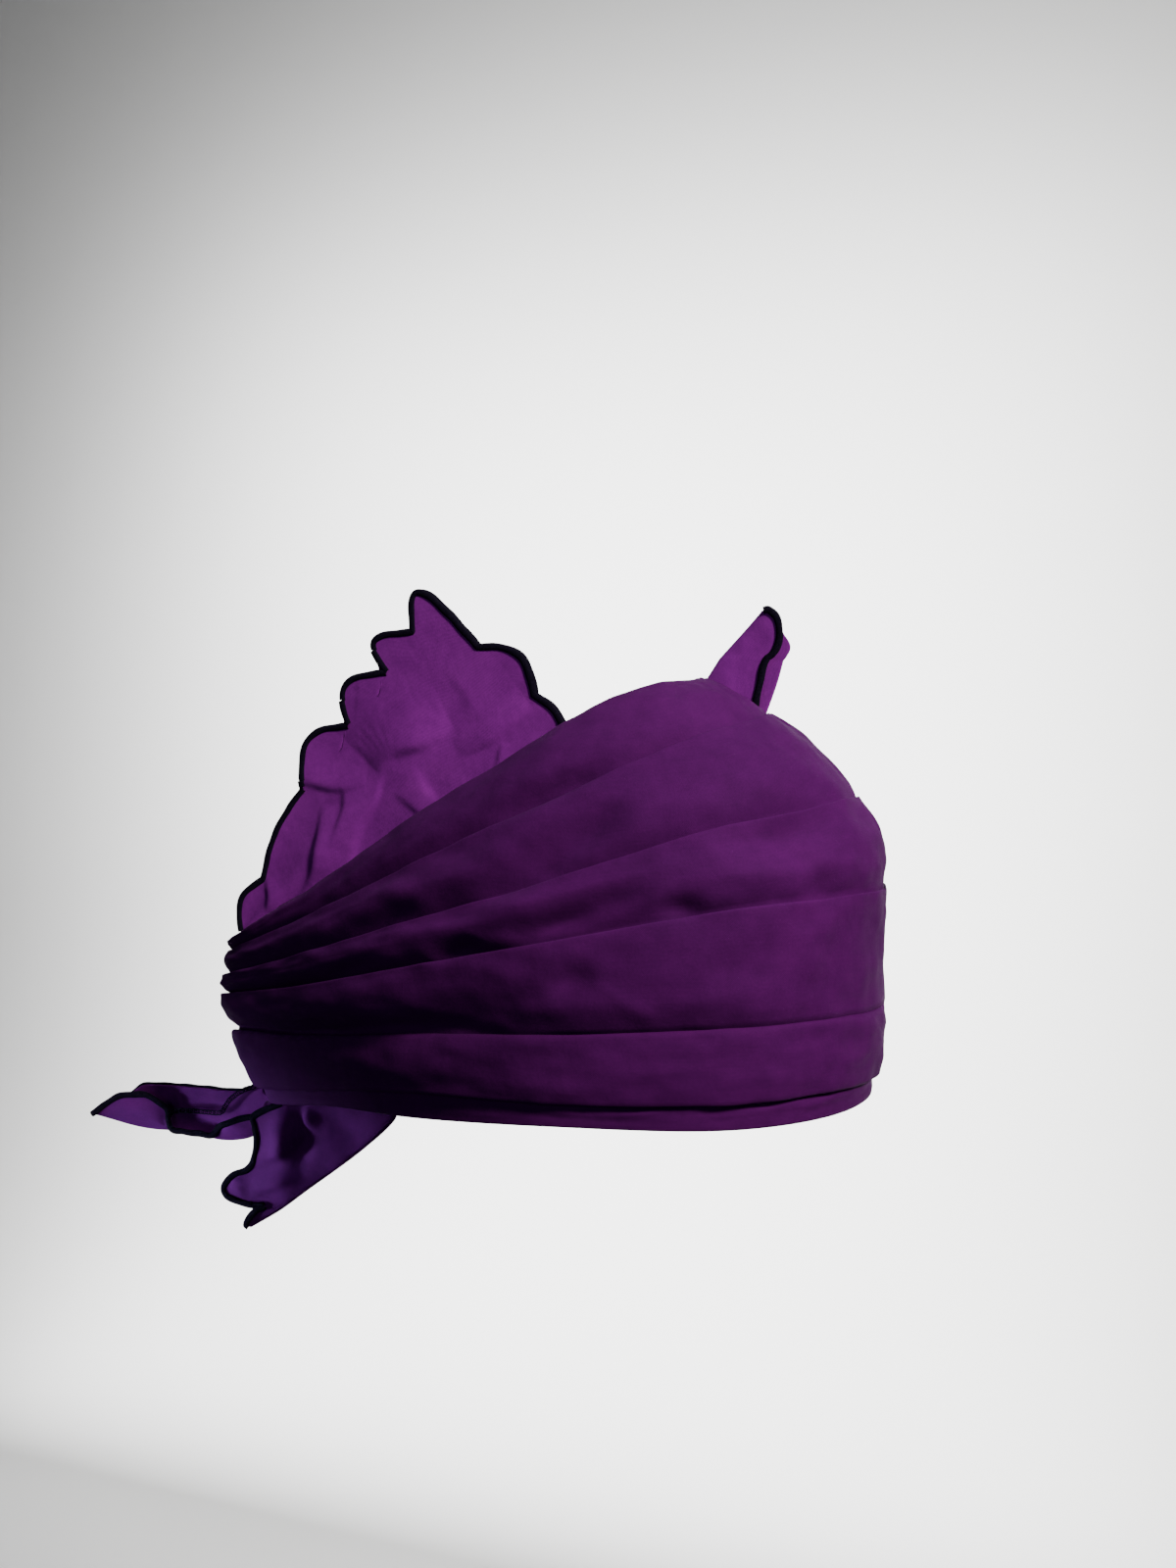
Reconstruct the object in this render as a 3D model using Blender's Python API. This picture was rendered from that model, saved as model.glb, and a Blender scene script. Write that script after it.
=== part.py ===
# Pleated headscarf with a standing scalloped fan and two tie ends
# Metres. +X is the way the wearer faces, +Y is the wearer's left, +Z is up.

import math
from collections import namedtuple

import bmesh
import bpy
from mathutils import Vector
from mathutils.bvhtree import BVHTree

# Head opening and crown
FRONT_REACH = 0.102
SIDE_REACH = 0.083
BACK_REACH = 0.182
CROWN_HEIGHT = 0.158
FRONT_LEAN = 0.070
NAPE_TUCK = 0.026
NAPE_AIM = 0.080

# Cloth, folds and the room between layers
CLOTH = 0.0018
GAP = 0.0003
BAND_GAP = 0.0005
BAND_WALL = 0.0022
BAND_BULGE = 0.0010
PLEAT_STEP = 0.0034

# Standing fan at the back
FAN_LENGTH = 0.163
FAN_HEIGHT = 0.156
FAN_TAIL = 0.004
FAN_RISE = 0.0045
FAN_RELIEF = 0.007
FAN_SPREAD = 0.0012
FAN_FOOT_LENGTH = 0.148
FAN_FOOT_INSET = 0.008
FAR_FAN_GROWTH = 1.08

# Folded corner over the top
CORNER_LENGTH = 0.034
CORNER_RISE = 0.033
CORNER_BASE_X = 0.029
CORNER_SIDE = 0.020
CORNER_SPREAD = 0.0012
CORNER_ROLL = 0.0012

# Knot and tie ends
KNOT_LENGTH = 0.024
KNOT_WIDTH = 0.019
KNOT_HEIGHT = 0.019
UPPER_TIE_LENGTH = 0.0935
UPPER_TIE_HEIGHT = 0.020
UPPER_TIE_SAG = 0.0118
UPPER_TIE_SIDE = 0.0
UPPER_TIE_ROLL = 0.0014
LOWER_TIE_REACH = 0.072
LOWER_TIE_DROP = 0.054
LOWER_TIE_ROLL = 0.0014

# Stitched black edging
EDGING_WIDTH = 0.0024
EDGING_THICKNESS = 0.0012

# Mesh fineness
AROUND = 48
COVER_ROWS = 6
FAN_ROWS = 6
LOBE_STEPS = 5
LEAF_ROWS = 3

# Dome curve: power of the shoulder and how far round it the top fold lies
DOME_POWER = 1.6
DOME_TURN = 0.92
TUCK_POWER = 1.3
LEVELS = 6
UNDER_BAND_TOP = 1.5
HIDDEN_WALL_TOP = 1.95

# One row for each section round the near half of the head.
# along: share of FRONT_REACH or BACK_REACH; across: share of SIDE_REACH.
# lean: share of FRONT_LEAN; straight: share of the top fold's height below the shoulder.
# tuck: share of NAPE_TUCK; rim to fold_6: heights as shares of CROWN_HEIGHT.
# crisp: share of PLEAT_STEP; mid_along and mid_up: where the cover meets the middle line.
Section = namedtuple(
    "Section",
    "along across lean straight tuck rim fold_1 fold_2 fold_3 fold_4 fold_5 fold_6 "
    "crisp mid_along mid_up",
)
SECTIONS = {
    "front": Section(
        1.00, 0.00, 1.00, 0.56, 0.17, 0.000, 0.050, 0.220, 0.500, 0.710, 0.910, 1.000,
        0.20, 0.18, 0.995),
    "brow": Section(
        0.89, 0.46, 0.94, 0.52, 0.17, 0.000, 0.063, 0.231, 0.500, 0.685, 0.880, 0.987,
        0.45, 0.12, 0.990),
    "temple": Section(
        0.58, 0.82, 0.79, 0.45, 0.17, 0.000, 0.060, 0.228, 0.475, 0.635, 0.823, 0.946,
        0.90, 0.00, 0.965),
    "side": Section(
        0.05, 1.00, 0.60, 0.38, 0.17, 0.000, 0.054, 0.210, 0.405, 0.530, 0.700, 0.835,
        1.00, -0.12, 0.900),
    "behind_ear": Section(
        -0.30, 0.93, 0.43, 0.33, 0.23, -0.028, 0.038, 0.174, 0.323, 0.420, 0.550, 0.660,
        1.00, -0.31, 0.756),
    "rear_side": Section(
        -0.62, 0.67, 0.23, 0.30, 0.46, -0.070, -0.020, 0.123, 0.240, 0.313, 0.405, 0.470,
        0.90, -0.55, 0.480),
    "rear_corner": Section(
        -0.92, 0.33, 0.07, 0.30, 0.72, -0.124, -0.072, 0.085, 0.177, 0.228, 0.294, 0.316,
        0.60, -0.81, 0.300),
    "back": Section(
        -1.00, 0.00, 0.04, 0.30, 0.78, -0.143, -0.090, 0.050, 0.146, 0.200, 0.266, 0.291,
        0.50, -0.92, 0.272),
}
LAST = len(SECTIONS) - 1
FOLD_NAMES = ("rim", "fold_1", "fold_2", "fold_3", "fold_4", "fold_5", "fold_6")
MIRRORED = ("across",)

# One pleat's outer face: share of the way to the next fold, share of the step outwards
PLEAT_FACE = ((0.05, 0.00), (0.45, 0.50), (0.85, 1.00), (0.98, 0.90))
PLEAT_LINING = ((0.75, 1.00), (0.20, 0.00))
LINING_SHARE = 0.45
FIRST_PLEAT = 2

# Fan cusps from the front foot to the back corner, as shares of FAN_LENGTH and FAN_HEIGHT.
# bulge and skew shape the lobe that follows the cusp, as shares of its chord.
Cusp = namedtuple("Cusp", "along up bulge skew")
FAN_CUSPS = (
    Cusp(0.990, 0.600, 0.10, 0.00),
    Cusp(0.905, 0.695, 0.26, 0.00),
    Cusp(0.747, 0.831, 0.54, 0.50),
    Cusp(0.553, 0.880, 0.66, 0.15),
    Cusp(0.480, 0.770, 0.45, 0.10),
    Cusp(0.360, 0.623, 0.34, 0.00),
    Cusp(0.213, 0.445, 0.08, 0.00),
    Cusp(0.083, 0.178, 0.23, 0.00),
    Cusp(0.012, 0.022, 0.00, 0.00),
)
# Folds of the fan's face: direction in turns from level, width in turns, depth share
FAN_FOLDS = ((0.035, 0.018, -1.0), (0.075, 0.020, 0.6), (0.115, 0.020, -0.5), (0.17, 0.03, 0.3))

# Folded corner: fold line, near edge and far edge, as shares of its length and rise
CORNER_FOLD = ((0.00, 0.17), (0.09, 0.27), (0.18, 0.37), (0.27, 0.47), (0.36, 0.57), (0.45, 0.67),
               (0.54, 0.77), (0.63, 0.87), (0.72, 0.96))
CORNER_NEAR = ((0.67, 0.10), (0.71, 0.23), (0.77, 0.34), (0.87, 0.43), (0.94, 0.54), (0.96, 0.68),
               (0.92, 0.87), (0.86, 0.96), (0.77, 0.98))
CORNER_FAR = ((0.74, 0.14), (0.83, 0.25), (0.95, 0.35), (1.03, 0.46), (1.04, 0.57), (1.00, 0.70),
              (0.93, 0.80), (0.86, 0.89), (0.78, 0.96))

# Upper tie end from the knot to its tip: place along, fold height, near and far edge heights
UPPER_TIE = (
    (0.00, 0.30, 0.60, 0.98),
    (0.12, 0.02, 0.51, 1.12),
    (0.20, -0.04, 0.35, 1.06),
    (0.27, -0.01, 0.14, 1.05),
    (0.41, 0.05, 0.29, 1.06),
    (0.55, 0.03, 0.49, 1.05),
    (0.63, 0.01, 0.65, 1.04),
    (0.71, 0.01, 0.75, 1.02),
    (0.82, 0.08, 0.74, 0.82),
    (0.91, 0.15, 0.60, 0.48),
    (1.00, 0.22, 0.28, 0.26),
)

# Lower tie end: fold line, near edge and far edge, as shares of its reach and drop
LOWER_FOLD = ((0.87, -0.17), (1.01, 0.02), (0.90, 0.16), (0.79, 0.28), (0.69, 0.38), (0.59, 0.48),
              (0.49, 0.57), (0.38, 0.68), (0.28, 0.78), (0.18, 0.87), (0.09, 0.94))
LOWER_NEAR = ((0.25, -0.02), (0.10, 0.06), (0.08, 0.17), (0.10, 0.33), (0.08, 0.44), (-0.02, 0.52),
              (-0.09, 0.63), (-0.03, 0.73), (0.19, 0.74), (0.10, 0.83), (0.07, 0.92))
LOWER_FAR = ((0.30, -0.02), (0.17, 0.06), (0.15, 0.17), (0.16, 0.31), (0.14, 0.42), (0.05, 0.50),
             (-0.03, 0.61), (0.03, 0.70), (0.21, 0.74), (0.13, 0.83), (0.08, 0.91))

PURPLE = (0.100, 0.022, 0.120, 1.0)
BLACK = (0.010, 0.008, 0.014, 1.0)


def clear_scene():
    for thing in list(bpy.data.objects):
        bpy.data.objects.remove(thing, do_unlink=True)


def make_material(name, colour, roughness):
    material = bpy.data.materials.new(name)
    material.use_nodes = True
    shader = material.node_tree.nodes["Principled BSDF"]
    shader.inputs["Base Color"].default_value = colour
    shader.inputs["Roughness"].default_value = roughness
    material.diffuse_color = colour
    return material


def purple_cloth(name):
    return make_material(name + "_cloth", PURPLE, 0.75)


def black_thread(name):
    return make_material(name + "_thread", BLACK, 0.85)


def blend(before, start, end, after, t):
    """A smooth curve through start and end that looks one value either way."""
    slope = 0.5 * (end - before)
    next_slope = 0.5 * (after - start)
    rise = end - start
    return (start + slope * t + (3.0 * rise - 2.0 * slope - next_slope) * t ** 2
            + (slope + next_slope - 2.0 * rise) * t ** 3)


def reach(share):
    return share * (FRONT_REACH if share > 0.0 else BACK_REACH)


def measured(row):
    """A row of SECTIONS in metres."""
    heights = {name: CROWN_HEIGHT * getattr(row, name) for name in FOLD_NAMES + ("mid_up",)}
    return row._replace(
        along=reach(row.along), across=SIDE_REACH * row.across, lean=FRONT_LEAN * row.lean,
        tuck=NAPE_TUCK * row.tuck, crisp=PLEAT_STEP * row.crisp,
        mid_along=reach(row.mid_along), **heights)


ROWS = [measured(row) for row in SECTIONS.values()]
FAN_START = -(BACK_REACH + FAN_TAIL)
FAN_LIFT = ROWS[LAST].mid_up + FAN_RISE
FAN_REAR_FOOT = -(BACK_REACH - FAN_FOOT_INSET)
FAN_FRONT_FOOT = FAN_REAR_FOOT + FAN_FOOT_LENGTH


def column(place, field):
    """A size at a place from 0, the front, to LAST, the back."""
    index = min(int(place), LAST - 1)
    values = []
    for row in (index - 1, index, index + 1, index + 2):
        folded = -row if row < 0 else min(row, 2 * LAST - row)
        value = getattr(ROWS[folded], field)
        values.append(-value if folded != row and field in MIRRORED else value)
    return blend(*values, place - index)


def fold_height(place, level):
    index = min(int(level), LEVELS - 1)
    low = column(place, FOLD_NAMES[index])
    high = column(place, FOLD_NAMES[index + 1])
    return low + (high - low) * (level - index)


def plan(place):
    """Outline of the head opening, near side."""
    return Vector((column(place, "along"), -column(place, "across"), 0.0))


def inward(place):
    """Level direction from the outline towards the middle line."""
    middle = Vector((column(place, "mid_along"), 0.0, 0.0))
    return (middle - plan(place)).normalized()


def shoulder(turn):
    return 1.0 - (1.0 - turn ** DOME_POWER) ** (1.0 / DOME_POWER)


def lean_inset(place, height):
    """How far the dome has come in over the head at a height."""
    top = column(place, "fold_6")
    start = top * column(place, "straight")
    turn = DOME_TURN * min(max((height - start) / (top - start), 0.0), 1.05)
    return column(place, "lean") * shoulder(turn) / shoulder(DOME_TURN)


def tuck_inset(place, height):
    """How far the lower part has come in under the head at a height."""
    top = fold_height(place, 3)
    drop = max((top - height) / (top - fold_height(place, 0)), 0.0)
    return column(place, "tuck") * drop ** TUCK_POWER


def skin(place, height):
    """The inner face of the cloth on the near side."""
    outline = plan(place)
    nape = Vector((-NAPE_AIM, 0.0, 0.0))
    point = outline + inward(place) * lean_inset(place, height)
    point += (nape - outline).normalized() * tuck_inset(place, height)
    point.z = height
    return point


def outward(place, height):
    """Direction square to the inner face, pointing away from the head."""
    step = 0.0008
    side_step = 0.02
    up = skin(place, height + step) - skin(place, height - step)
    run = skin(place + side_step, height) - skin(place - side_step, height)
    normal = up.cross(run).normalized()
    return normal if normal.dot(inward(place)) < 0.0 else -normal


def wall_point(turn, height_at, offset):
    """A point at a turn from 0 to 1 round the head, the far half mirrored."""
    place = 2.0 * LAST * turn
    mirrored = place > LAST
    if mirrored:
        place = 2.0 * LAST - place
    height = height_at(place)
    point = skin(place, height) + outward(place, height) * offset(place)
    if mirrored:
        point.y = -point.y
    return point


def mesh_object(name, bm, material):
    mesh = bpy.data.meshes.new(name)
    bm.to_mesh(mesh)
    bm.free()
    for face in mesh.polygons:
        face.use_smooth = True
    mesh.materials.append(material)
    thing = bpy.data.objects.new(name, mesh)
    bpy.context.scene.collection.objects.link(thing)
    return thing


def closed_ring(name, profile, material):
    """A ring round the head; profile is a list of (height function, offset function)."""
    bm = bmesh.new()
    rings = []
    for index in range(AROUND):
        turn = index / AROUND
        rings.append([bm.verts.new(wall_point(turn, high, out)) for high, out in profile])
    for index in range(AROUND):
        here = rings[index]
        there = rings[(index + 1) % AROUND]
        for row in range(len(profile)):
            after = (row + 1) % len(profile)
            add_split_quad(bm, here[row], here[after], there[row], there[after])
    bmesh.ops.recalc_face_normals(bm, faces=bm.faces)
    return mesh_object(name, bm, material)


def add_split_quad(bm, low, high, next_low, next_high):
    """Two triangles, split from the lower to the upper corner, so that layers stay parallel."""
    if low.co.z > high.co.z:
        low, high, next_low, next_high = high, low, next_high, next_low
    bm.faces.new((low, next_low, next_high))
    bm.faces.new((low, next_high, high))


def at_level(level, lift=0.0):
    return lambda place: fold_height(place, level) + lift


def steady(value):
    return lambda place: value


def stepped(base, share):
    return lambda place: base + share * column(place, "crisp")


def under_band():
    rows = (
        (0.00, 0.5 * CLOTH), (0.06, 0.95 * CLOTH), (0.50, CLOTH), (1.00, CLOTH),
        (1.05, CLOTH),
        (UNDER_BAND_TOP, CLOTH), (UNDER_BAND_TOP, 0.0), (0.75, 0.0), (0.06, 0.05 * CLOTH),
    )
    profile = [(at_level(level), steady(out)) for level, out in rows]
    return closed_ring("under_band", profile, purple_cloth("under_band"))


def brow_band():
    inner = CLOTH + BAND_GAP
    middle = inner + 0.5 * BAND_WALL
    outer = inner + BAND_WALL
    rows = (
        (1.00, middle), (1.05, outer - 0.1 * BAND_BULGE), (1.30, outer + 0.7 * BAND_BULGE),
        (1.70, outer + BAND_BULGE), (1.95, outer + 0.2 * BAND_BULGE), (2.00, middle),
        (1.95, inner), (1.50, inner), (1.05, inner),
    )
    profile = [(at_level(level), steady(out)) for level, out in rows]
    return closed_ring("brow_band", profile, purple_cloth("brow_band"))


def crown():
    """The pleated wall from behind the brow band up to the top fold."""
    profile = [(at_level(UNDER_BAND_TOP, GAP), steady(0.0)),
               (at_level(UNDER_BAND_TOP, GAP), steady(CLOTH)),
               (at_level(HIDDEN_WALL_TOP), steady(CLOTH))]
    for pleat in range(FIRST_PLEAT, LEVELS):
        for share, rise in PLEAT_FACE:
            profile.append((at_level(pleat + share), stepped(CLOTH, rise)))
    profile.append((at_level(LEVELS), stepped(0.6 * CLOTH, 0.6)))
    profile.append((at_level(LEVELS), steady(0.0)))
    for pleat in reversed(range(FIRST_PLEAT, LEVELS)):
        for share, rise in PLEAT_LINING:
            profile.append((at_level(pleat + share), stepped(0.0, LINING_SHARE * rise)))
    return closed_ring("crown", profile, purple_cloth("crown"))


def cover_rib(place):
    """The cover's middle surface, from under the top fold to the middle line, near side."""
    depth = -GAP - 0.5 * CLOTH
    rib = []
    for level in (5.70, 5.85):
        height = fold_height(place, level)
        rib.append(skin(place, height) + outward(place, height) * depth)
    top = fold_height(place, LEVELS)
    start = skin(place, top) + outward(place, top) * depth
    end = Vector((column(place, "mid_along"), 0.0, column(place, "mid_up") - 0.5 * CLOTH))
    leave = (skin(place, top) - skin(place, top - 0.001)).normalized()
    level_run = Vector((end.x - start.x, end.y - start.y, 0.0))
    length = (end - start).length
    arrive = level_run.normalized() * length * 0.7
    leave = leave * length * 0.5
    for row in range(COVER_ROWS + 1):
        t = row / COVER_ROWS
        near = 2.0 * t ** 3 - 3.0 * t ** 2 + 1.0
        far = 1.0 - near
        rib.append(start * near + end * far + leave * (t ** 3 - 2.0 * t ** 2 + t)
                   + arrive * (t ** 3 - t ** 2))
    return rib


def mirror_y(point):
    return Vector((point.x, -point.y, point.z))


def crown_cover():
    half = AROUND // 2
    near = [cover_rib(LAST * index / half) for index in range(half + 1)]
    far = [[mirror_y(point) for point in rib] for rib in near]
    bm = bmesh.new()
    for side in (near, far):
        add_grid(bm, side)
    weld = GAP / 10.0
    bmesh.ops.remove_doubles(bm, verts=bm.verts, dist=weld)
    bmesh.ops.recalc_face_normals(bm, faces=bm.faces)
    cover = mesh_object("crown_cover", bm, purple_cloth("crown_cover"))
    thicken(cover, CLOTH)
    return cover


def add_grid(bm, lines):
    rows = [[bm.verts.new(point) for point in line] for line in lines]
    for here, there in zip(rows, rows[1:]):
        for index in range(len(here) - 1):
            bm.faces.new((here[index], here[index + 1], there[index + 1], there[index]))


def thicken(thing, thickness):
    solid = thing.modifiers.new("wall", "SOLIDIFY")
    solid.thickness = thickness
    solid.offset = 0.0
    solid.use_rim = True


def sheet(name, lines, material, thickness=CLOTH):
    bm = bmesh.new()
    add_grid(bm, lines)
    thing = mesh_object(name, bm, material)
    thicken(thing, thickness)
    return thing


def surface_tree(things):
    """One search tree over the evaluated shapes of some objects."""
    bpy.context.view_layer.update()
    graph = bpy.context.evaluated_depsgraph_get()
    points = []
    faces = []
    for thing in things:
        mesh = thing.evaluated_get(graph).to_mesh()
        base = len(points)
        points.extend(vertex.co.copy() for vertex in mesh.vertices)
        faces.extend([base + index for index in face.vertices] for face in mesh.polygons)
        thing.evaluated_get(graph).to_mesh_clear()
    return BVHTree.FromPolygons(points, faces)


def height_on(tree, x, y):
    """Top of what lies under a place, or None where nothing does."""
    hit = tree.ray_cast(Vector((x, y, 2.0 * CROWN_HEIGHT)), Vector((0.0, 0.0, -1.0)))
    return hit[0].z if hit[0] else None


def underside(tree, x, y):
    """Bottom of what lies over a place; a height above everything where nothing does."""
    start = Vector((x, y, -CROWN_HEIGHT))
    hit = tree.ray_cast(start, Vector((0.0, 0.0, 1.0)))
    return hit[0].z if hit[0] else CROWN_HEIGHT


def foot_height(tree, x, y, half_width):
    """Height that clears everything across a foot of some width."""
    heights = [height_on(tree, x + dx, y + dy)
               for dx in (-half_width, 0.0, half_width)
               for dy in (-half_width, 0.0, half_width)]
    return max(value for value in heights if value is not None) + GAP


def ridge_height(tree, x):
    """Height for a thin foot that stands along the middle line."""
    half = CLOTH + GAP
    heights = [height_on(tree, x, side) for side in (-half, 0.0, half)]
    return max(value for value in heights if value is not None) + GAP


def lobe_points(cusp, after, grow):
    """Points along one scallop, without its last cusp."""
    start = Vector((cusp.along * FAN_LENGTH, cusp.up * FAN_HEIGHT))
    end = Vector((after.along * FAN_LENGTH, after.up * FAN_HEIGHT))
    chord = end - start
    out = Vector((chord.y, -chord.x))
    points = []
    for step in range(LOBE_STEPS):
        t = step / LOBE_STEPS
        hump = math.sin(math.pi * t)
        points.append(start + chord * (t + cusp.skew * hump) + out * cusp.bulge * grow * hump)
    return points


def fan_edge(grow):
    points = []
    for cusp, after in zip(FAN_CUSPS, FAN_CUSPS[1:]):
        points.extend(lobe_points(cusp, after, grow))
    last = FAN_CUSPS[-1]
    points.append(Vector((last.along * FAN_LENGTH, last.up * FAN_HEIGHT)))
    return [Vector((FAN_START + point.x, FAN_LIFT + point.y)) for point in points]


def fan_side(x, z):
    """Sideways relief of the fan, with folds that spread from the back corner."""
    dx = x - FAN_START
    dz = z - FAN_LIFT
    distance = math.hypot(dx, dz)
    direction = math.atan2(dz, dx) / (2.0 * math.pi)
    depth = sum(share * math.exp(-((direction - turn) / width) ** 2)
                for turn, width, share in FAN_FOLDS)
    ramp = min(distance / FAN_LENGTH, 1.0)
    return FAN_RELIEF * depth * math.sin(math.pi * ramp)


def fan_lines(tree, grow, side):
    """Columns of a fan leaf from its foot to its scalloped edge."""
    edge = fan_edge(grow)
    lines = []
    for index, tip in enumerate(edge):
        share = index / (len(edge) - 1)
        x = FAN_FRONT_FOOT + (FAN_REAR_FOOT - FAN_FRONT_FOOT) * share
        foot = Vector((x, ridge_height(tree, x)))
        line = []
        for row in range(FAN_ROWS + 1):
            up = row / FAN_ROWS
            spot = foot.lerp(tip, up)
            apart = 0.5 * (CLOTH + GAP) + FAN_SPREAD * up
            relief = fan_side(spot.x, spot.y) * min(3.0 * up, 1.0)
            line.append(Vector((spot.x, relief + side * apart, spot.y)))
        lines.append(line)
    return lines


def strip(name, path, inner_side, face):
    """A flat thread border; it lies on one face of a leaf, just inside the leaf's edge."""
    half = 0.5 * EDGING_WIDTH
    high = EDGING_THICKNESS
    section = ((-half, 0.1), (-0.5 * half, 1.0), (0.5 * half, 1.0), (half, 0.1),
               (0.5 * half, 0.0), (-0.5 * half, 0.0))
    lift = 0.5 * CLOTH + GAP
    bm = bmesh.new()
    rings = []
    for index, point in enumerate(path):
        inner = inner_side[index]
        base = point + inner * half
        rings.append([bm.verts.new(base + inner * across + face * (lift + high * up))
                      for across, up in section])
    count = len(section)
    for here, there in zip(rings, rings[1:]):
        for index in range(count):
            after = (index + 1) % count
            bm.faces.new((here[index], here[after], there[after], there[index]))
    bm.faces.new(rings[0])
    bm.faces.new(list(reversed(rings[-1])))
    bmesh.ops.recalc_face_normals(bm, faces=bm.faces)
    return mesh_object(name, bm, black_thread(name))


def inner_directions(path, inside):
    """Unit vectors in the leaf's plane, square to the path and towards the leaf's body."""
    directions = []
    for index, point in enumerate(path):
        before = path[max(index - 1, 0)]
        after = path[min(index + 1, len(path) - 1)]
        run = after - before
        square = Vector((-run.z, 0.0, run.x)).normalized()
        directions.append(square if square.dot(inside[index] - point) > 0.0 else -square)
    return directions


def border(name, lines, facing):
    """A border along the last point of each line of a leaf."""
    path = [line[-1] for line in lines]
    inside = [line[-2] for line in lines]
    face = Vector((0.0, facing, 0.0))
    return strip(name, path, inner_directions(path, inside), face)


def back_fan(tree):
    near = fan_lines(tree, 1.0, -1.0)
    far = fan_lines(tree, FAR_FAN_GROWTH, 1.0)
    sheet("fan_near_leaf", near, purple_cloth("fan_near_leaf"))
    sheet("fan_far_leaf", far, purple_cloth("fan_far_leaf"))
    border("fan_near_edging", near[1:-1], -1.0)
    border("fan_far_edging", far[1:-1], 1.0)


def folded_lines(near, fold, far, side, roll, spread):
    """Columns across a folded leaf: near edge, round the fold, far edge."""
    lines = []
    for near_edge, crease, far_edge in zip(near, fold, far):
        line = []
        for row in range(LEAF_ROWS):
            share = row / LEAF_ROWS
            spot = near_edge.lerp(crease, share)
            out = roll + spread * (1.0 - share)
            line.append(Vector((spot.x, side - out, spot.y)))
        line.append(Vector((crease.x, side, crease.y)))
        for row in range(1, LEAF_ROWS + 1):
            share = row / LEAF_ROWS
            spot = crease.lerp(far_edge, share)
            out = roll + spread * share
            line.append(Vector((spot.x, side + out, spot.y)))
        lines.append(line)
    return lines


def scaled(rows, start_x, start_z, length, rise):
    return [Vector((start_x + length * along, start_z + rise * up)) for along, up in rows]


def near_border(name, lines, facing):
    """A border along the first point of each line of a folded leaf."""
    return border(name, [list(reversed(line)) for line in lines], facing)


def top_corner(tree):
    base = foot_height(tree, CORNER_BASE_X, CORNER_SIDE, CLOTH)
    near, fold, far = [scaled(rows, CORNER_BASE_X, base, CORNER_LENGTH, CORNER_RISE)
                       for rows in (CORNER_NEAR, CORNER_FOLD, CORNER_FAR)]
    lines = folded_lines(near, fold, far, CORNER_SIDE, CORNER_ROLL, CORNER_SPREAD)
    for point in lines[0]:
        point.z = foot_height(tree, point.x, point.y, 1.5 * CLOTH)
    sheet("top_corner", lines, purple_cloth("top_corner"))
    near_border("top_corner_edging", lines[1:], -1.0)


def knot_centre(tree):
    """The knot hangs just under the lower rim at the nape."""
    x = skin(LAST, fold_height(LAST, 0)).x
    low = min(underside(tree, x + dx, 0.0) for dx in (-2.0 * CLOTH, -CLOTH, 0.0, CLOTH))
    return Vector((x, 0.0, low - GAP - 0.5 * KNOT_HEIGHT))


def knot(centre):
    """The wrapped lump under the nape, with the groove of the wrap round its waist."""
    columns = 20
    rows = 10
    groove = 0.12
    bm = bmesh.new()
    bmesh.ops.create_uvsphere(bm, u_segments=columns, v_segments=rows, radius=0.5)
    for vertex in bm.verts:
        slant = vertex.co.x + 0.5 * vertex.co.z
        pinch = 1.0 - groove * math.exp(-(slant / 0.09) ** 2) * (1.0 - 4.0 * vertex.co.z ** 2)
        vertex.co.y *= pinch
        vertex.co.x *= KNOT_LENGTH
        vertex.co.y *= KNOT_WIDTH
        vertex.co.z *= KNOT_HEIGHT
    thing = mesh_object("knot", bm, purple_cloth("knot"))
    thing.location = centre


def upper_tie(centre):
    start = centre.x - 0.5 * KNOT_LENGTH - GAP
    bottom = centre.z - UPPER_TIE_SAG
    fold = []
    near = []
    far = []
    for along, low, near_top, far_top in UPPER_TIE:
        x = start - UPPER_TIE_LENGTH * along
        fold.append(Vector((x, bottom + UPPER_TIE_HEIGHT * low)))
        near.append(Vector((x, bottom + UPPER_TIE_HEIGHT * near_top)))
        far.append(Vector((x, bottom + UPPER_TIE_HEIGHT * far_top)))
    lines = folded_lines(near, fold, far, UPPER_TIE_SIDE, UPPER_TIE_ROLL, UPPER_TIE_ROLL)
    sheet("upper_tie", lines, purple_cloth("upper_tie"))
    near_border("upper_tie_edging", lines, -1.0)
    border("upper_tie_far_edging", lines, 1.0)


def lower_tie(centre):
    spread = LOWER_TIE_ROLL
    side = -0.5 * KNOT_WIDTH - GAP - 0.5 * CLOTH - LOWER_TIE_ROLL - spread
    start_x = centre.x - 0.55 * KNOT_LENGTH
    top = centre.z + 0.30 * KNOT_HEIGHT
    near, fold, far = [scaled(rows, start_x, top, LOWER_TIE_REACH, -LOWER_TIE_DROP)
                       for rows in (LOWER_NEAR, LOWER_FOLD, LOWER_FAR)]
    lines = folded_lines(near, fold, far, side, LOWER_TIE_ROLL, spread)
    sheet("lower_tie", lines, purple_cloth("lower_tie"))
    near_border("lower_tie_edging", lines, -1.0)


def main():
    clear_scene()
    rim = under_band()
    brow_band()
    wall = crown()
    cover = crown_cover()
    top = surface_tree([wall, cover])
    back_fan(top)
    top_corner(top)
    centre = knot_centre(surface_tree([rim]))
    knot(centre)
    upper_tie(centre)
    lower_tie(centre)


main()
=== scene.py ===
# Looks of the pleated headscarf: fine folds, scallops, stitched edging and woven cloth
# Metres. +X is the way the wearer faces, +Y is the wearer's left, +Z is up.

import math
from collections import namedtuple

import bmesh
import bpy
import numpy as np
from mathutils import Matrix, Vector, noise
from mathutils.bvhtree import BVHTree


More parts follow.
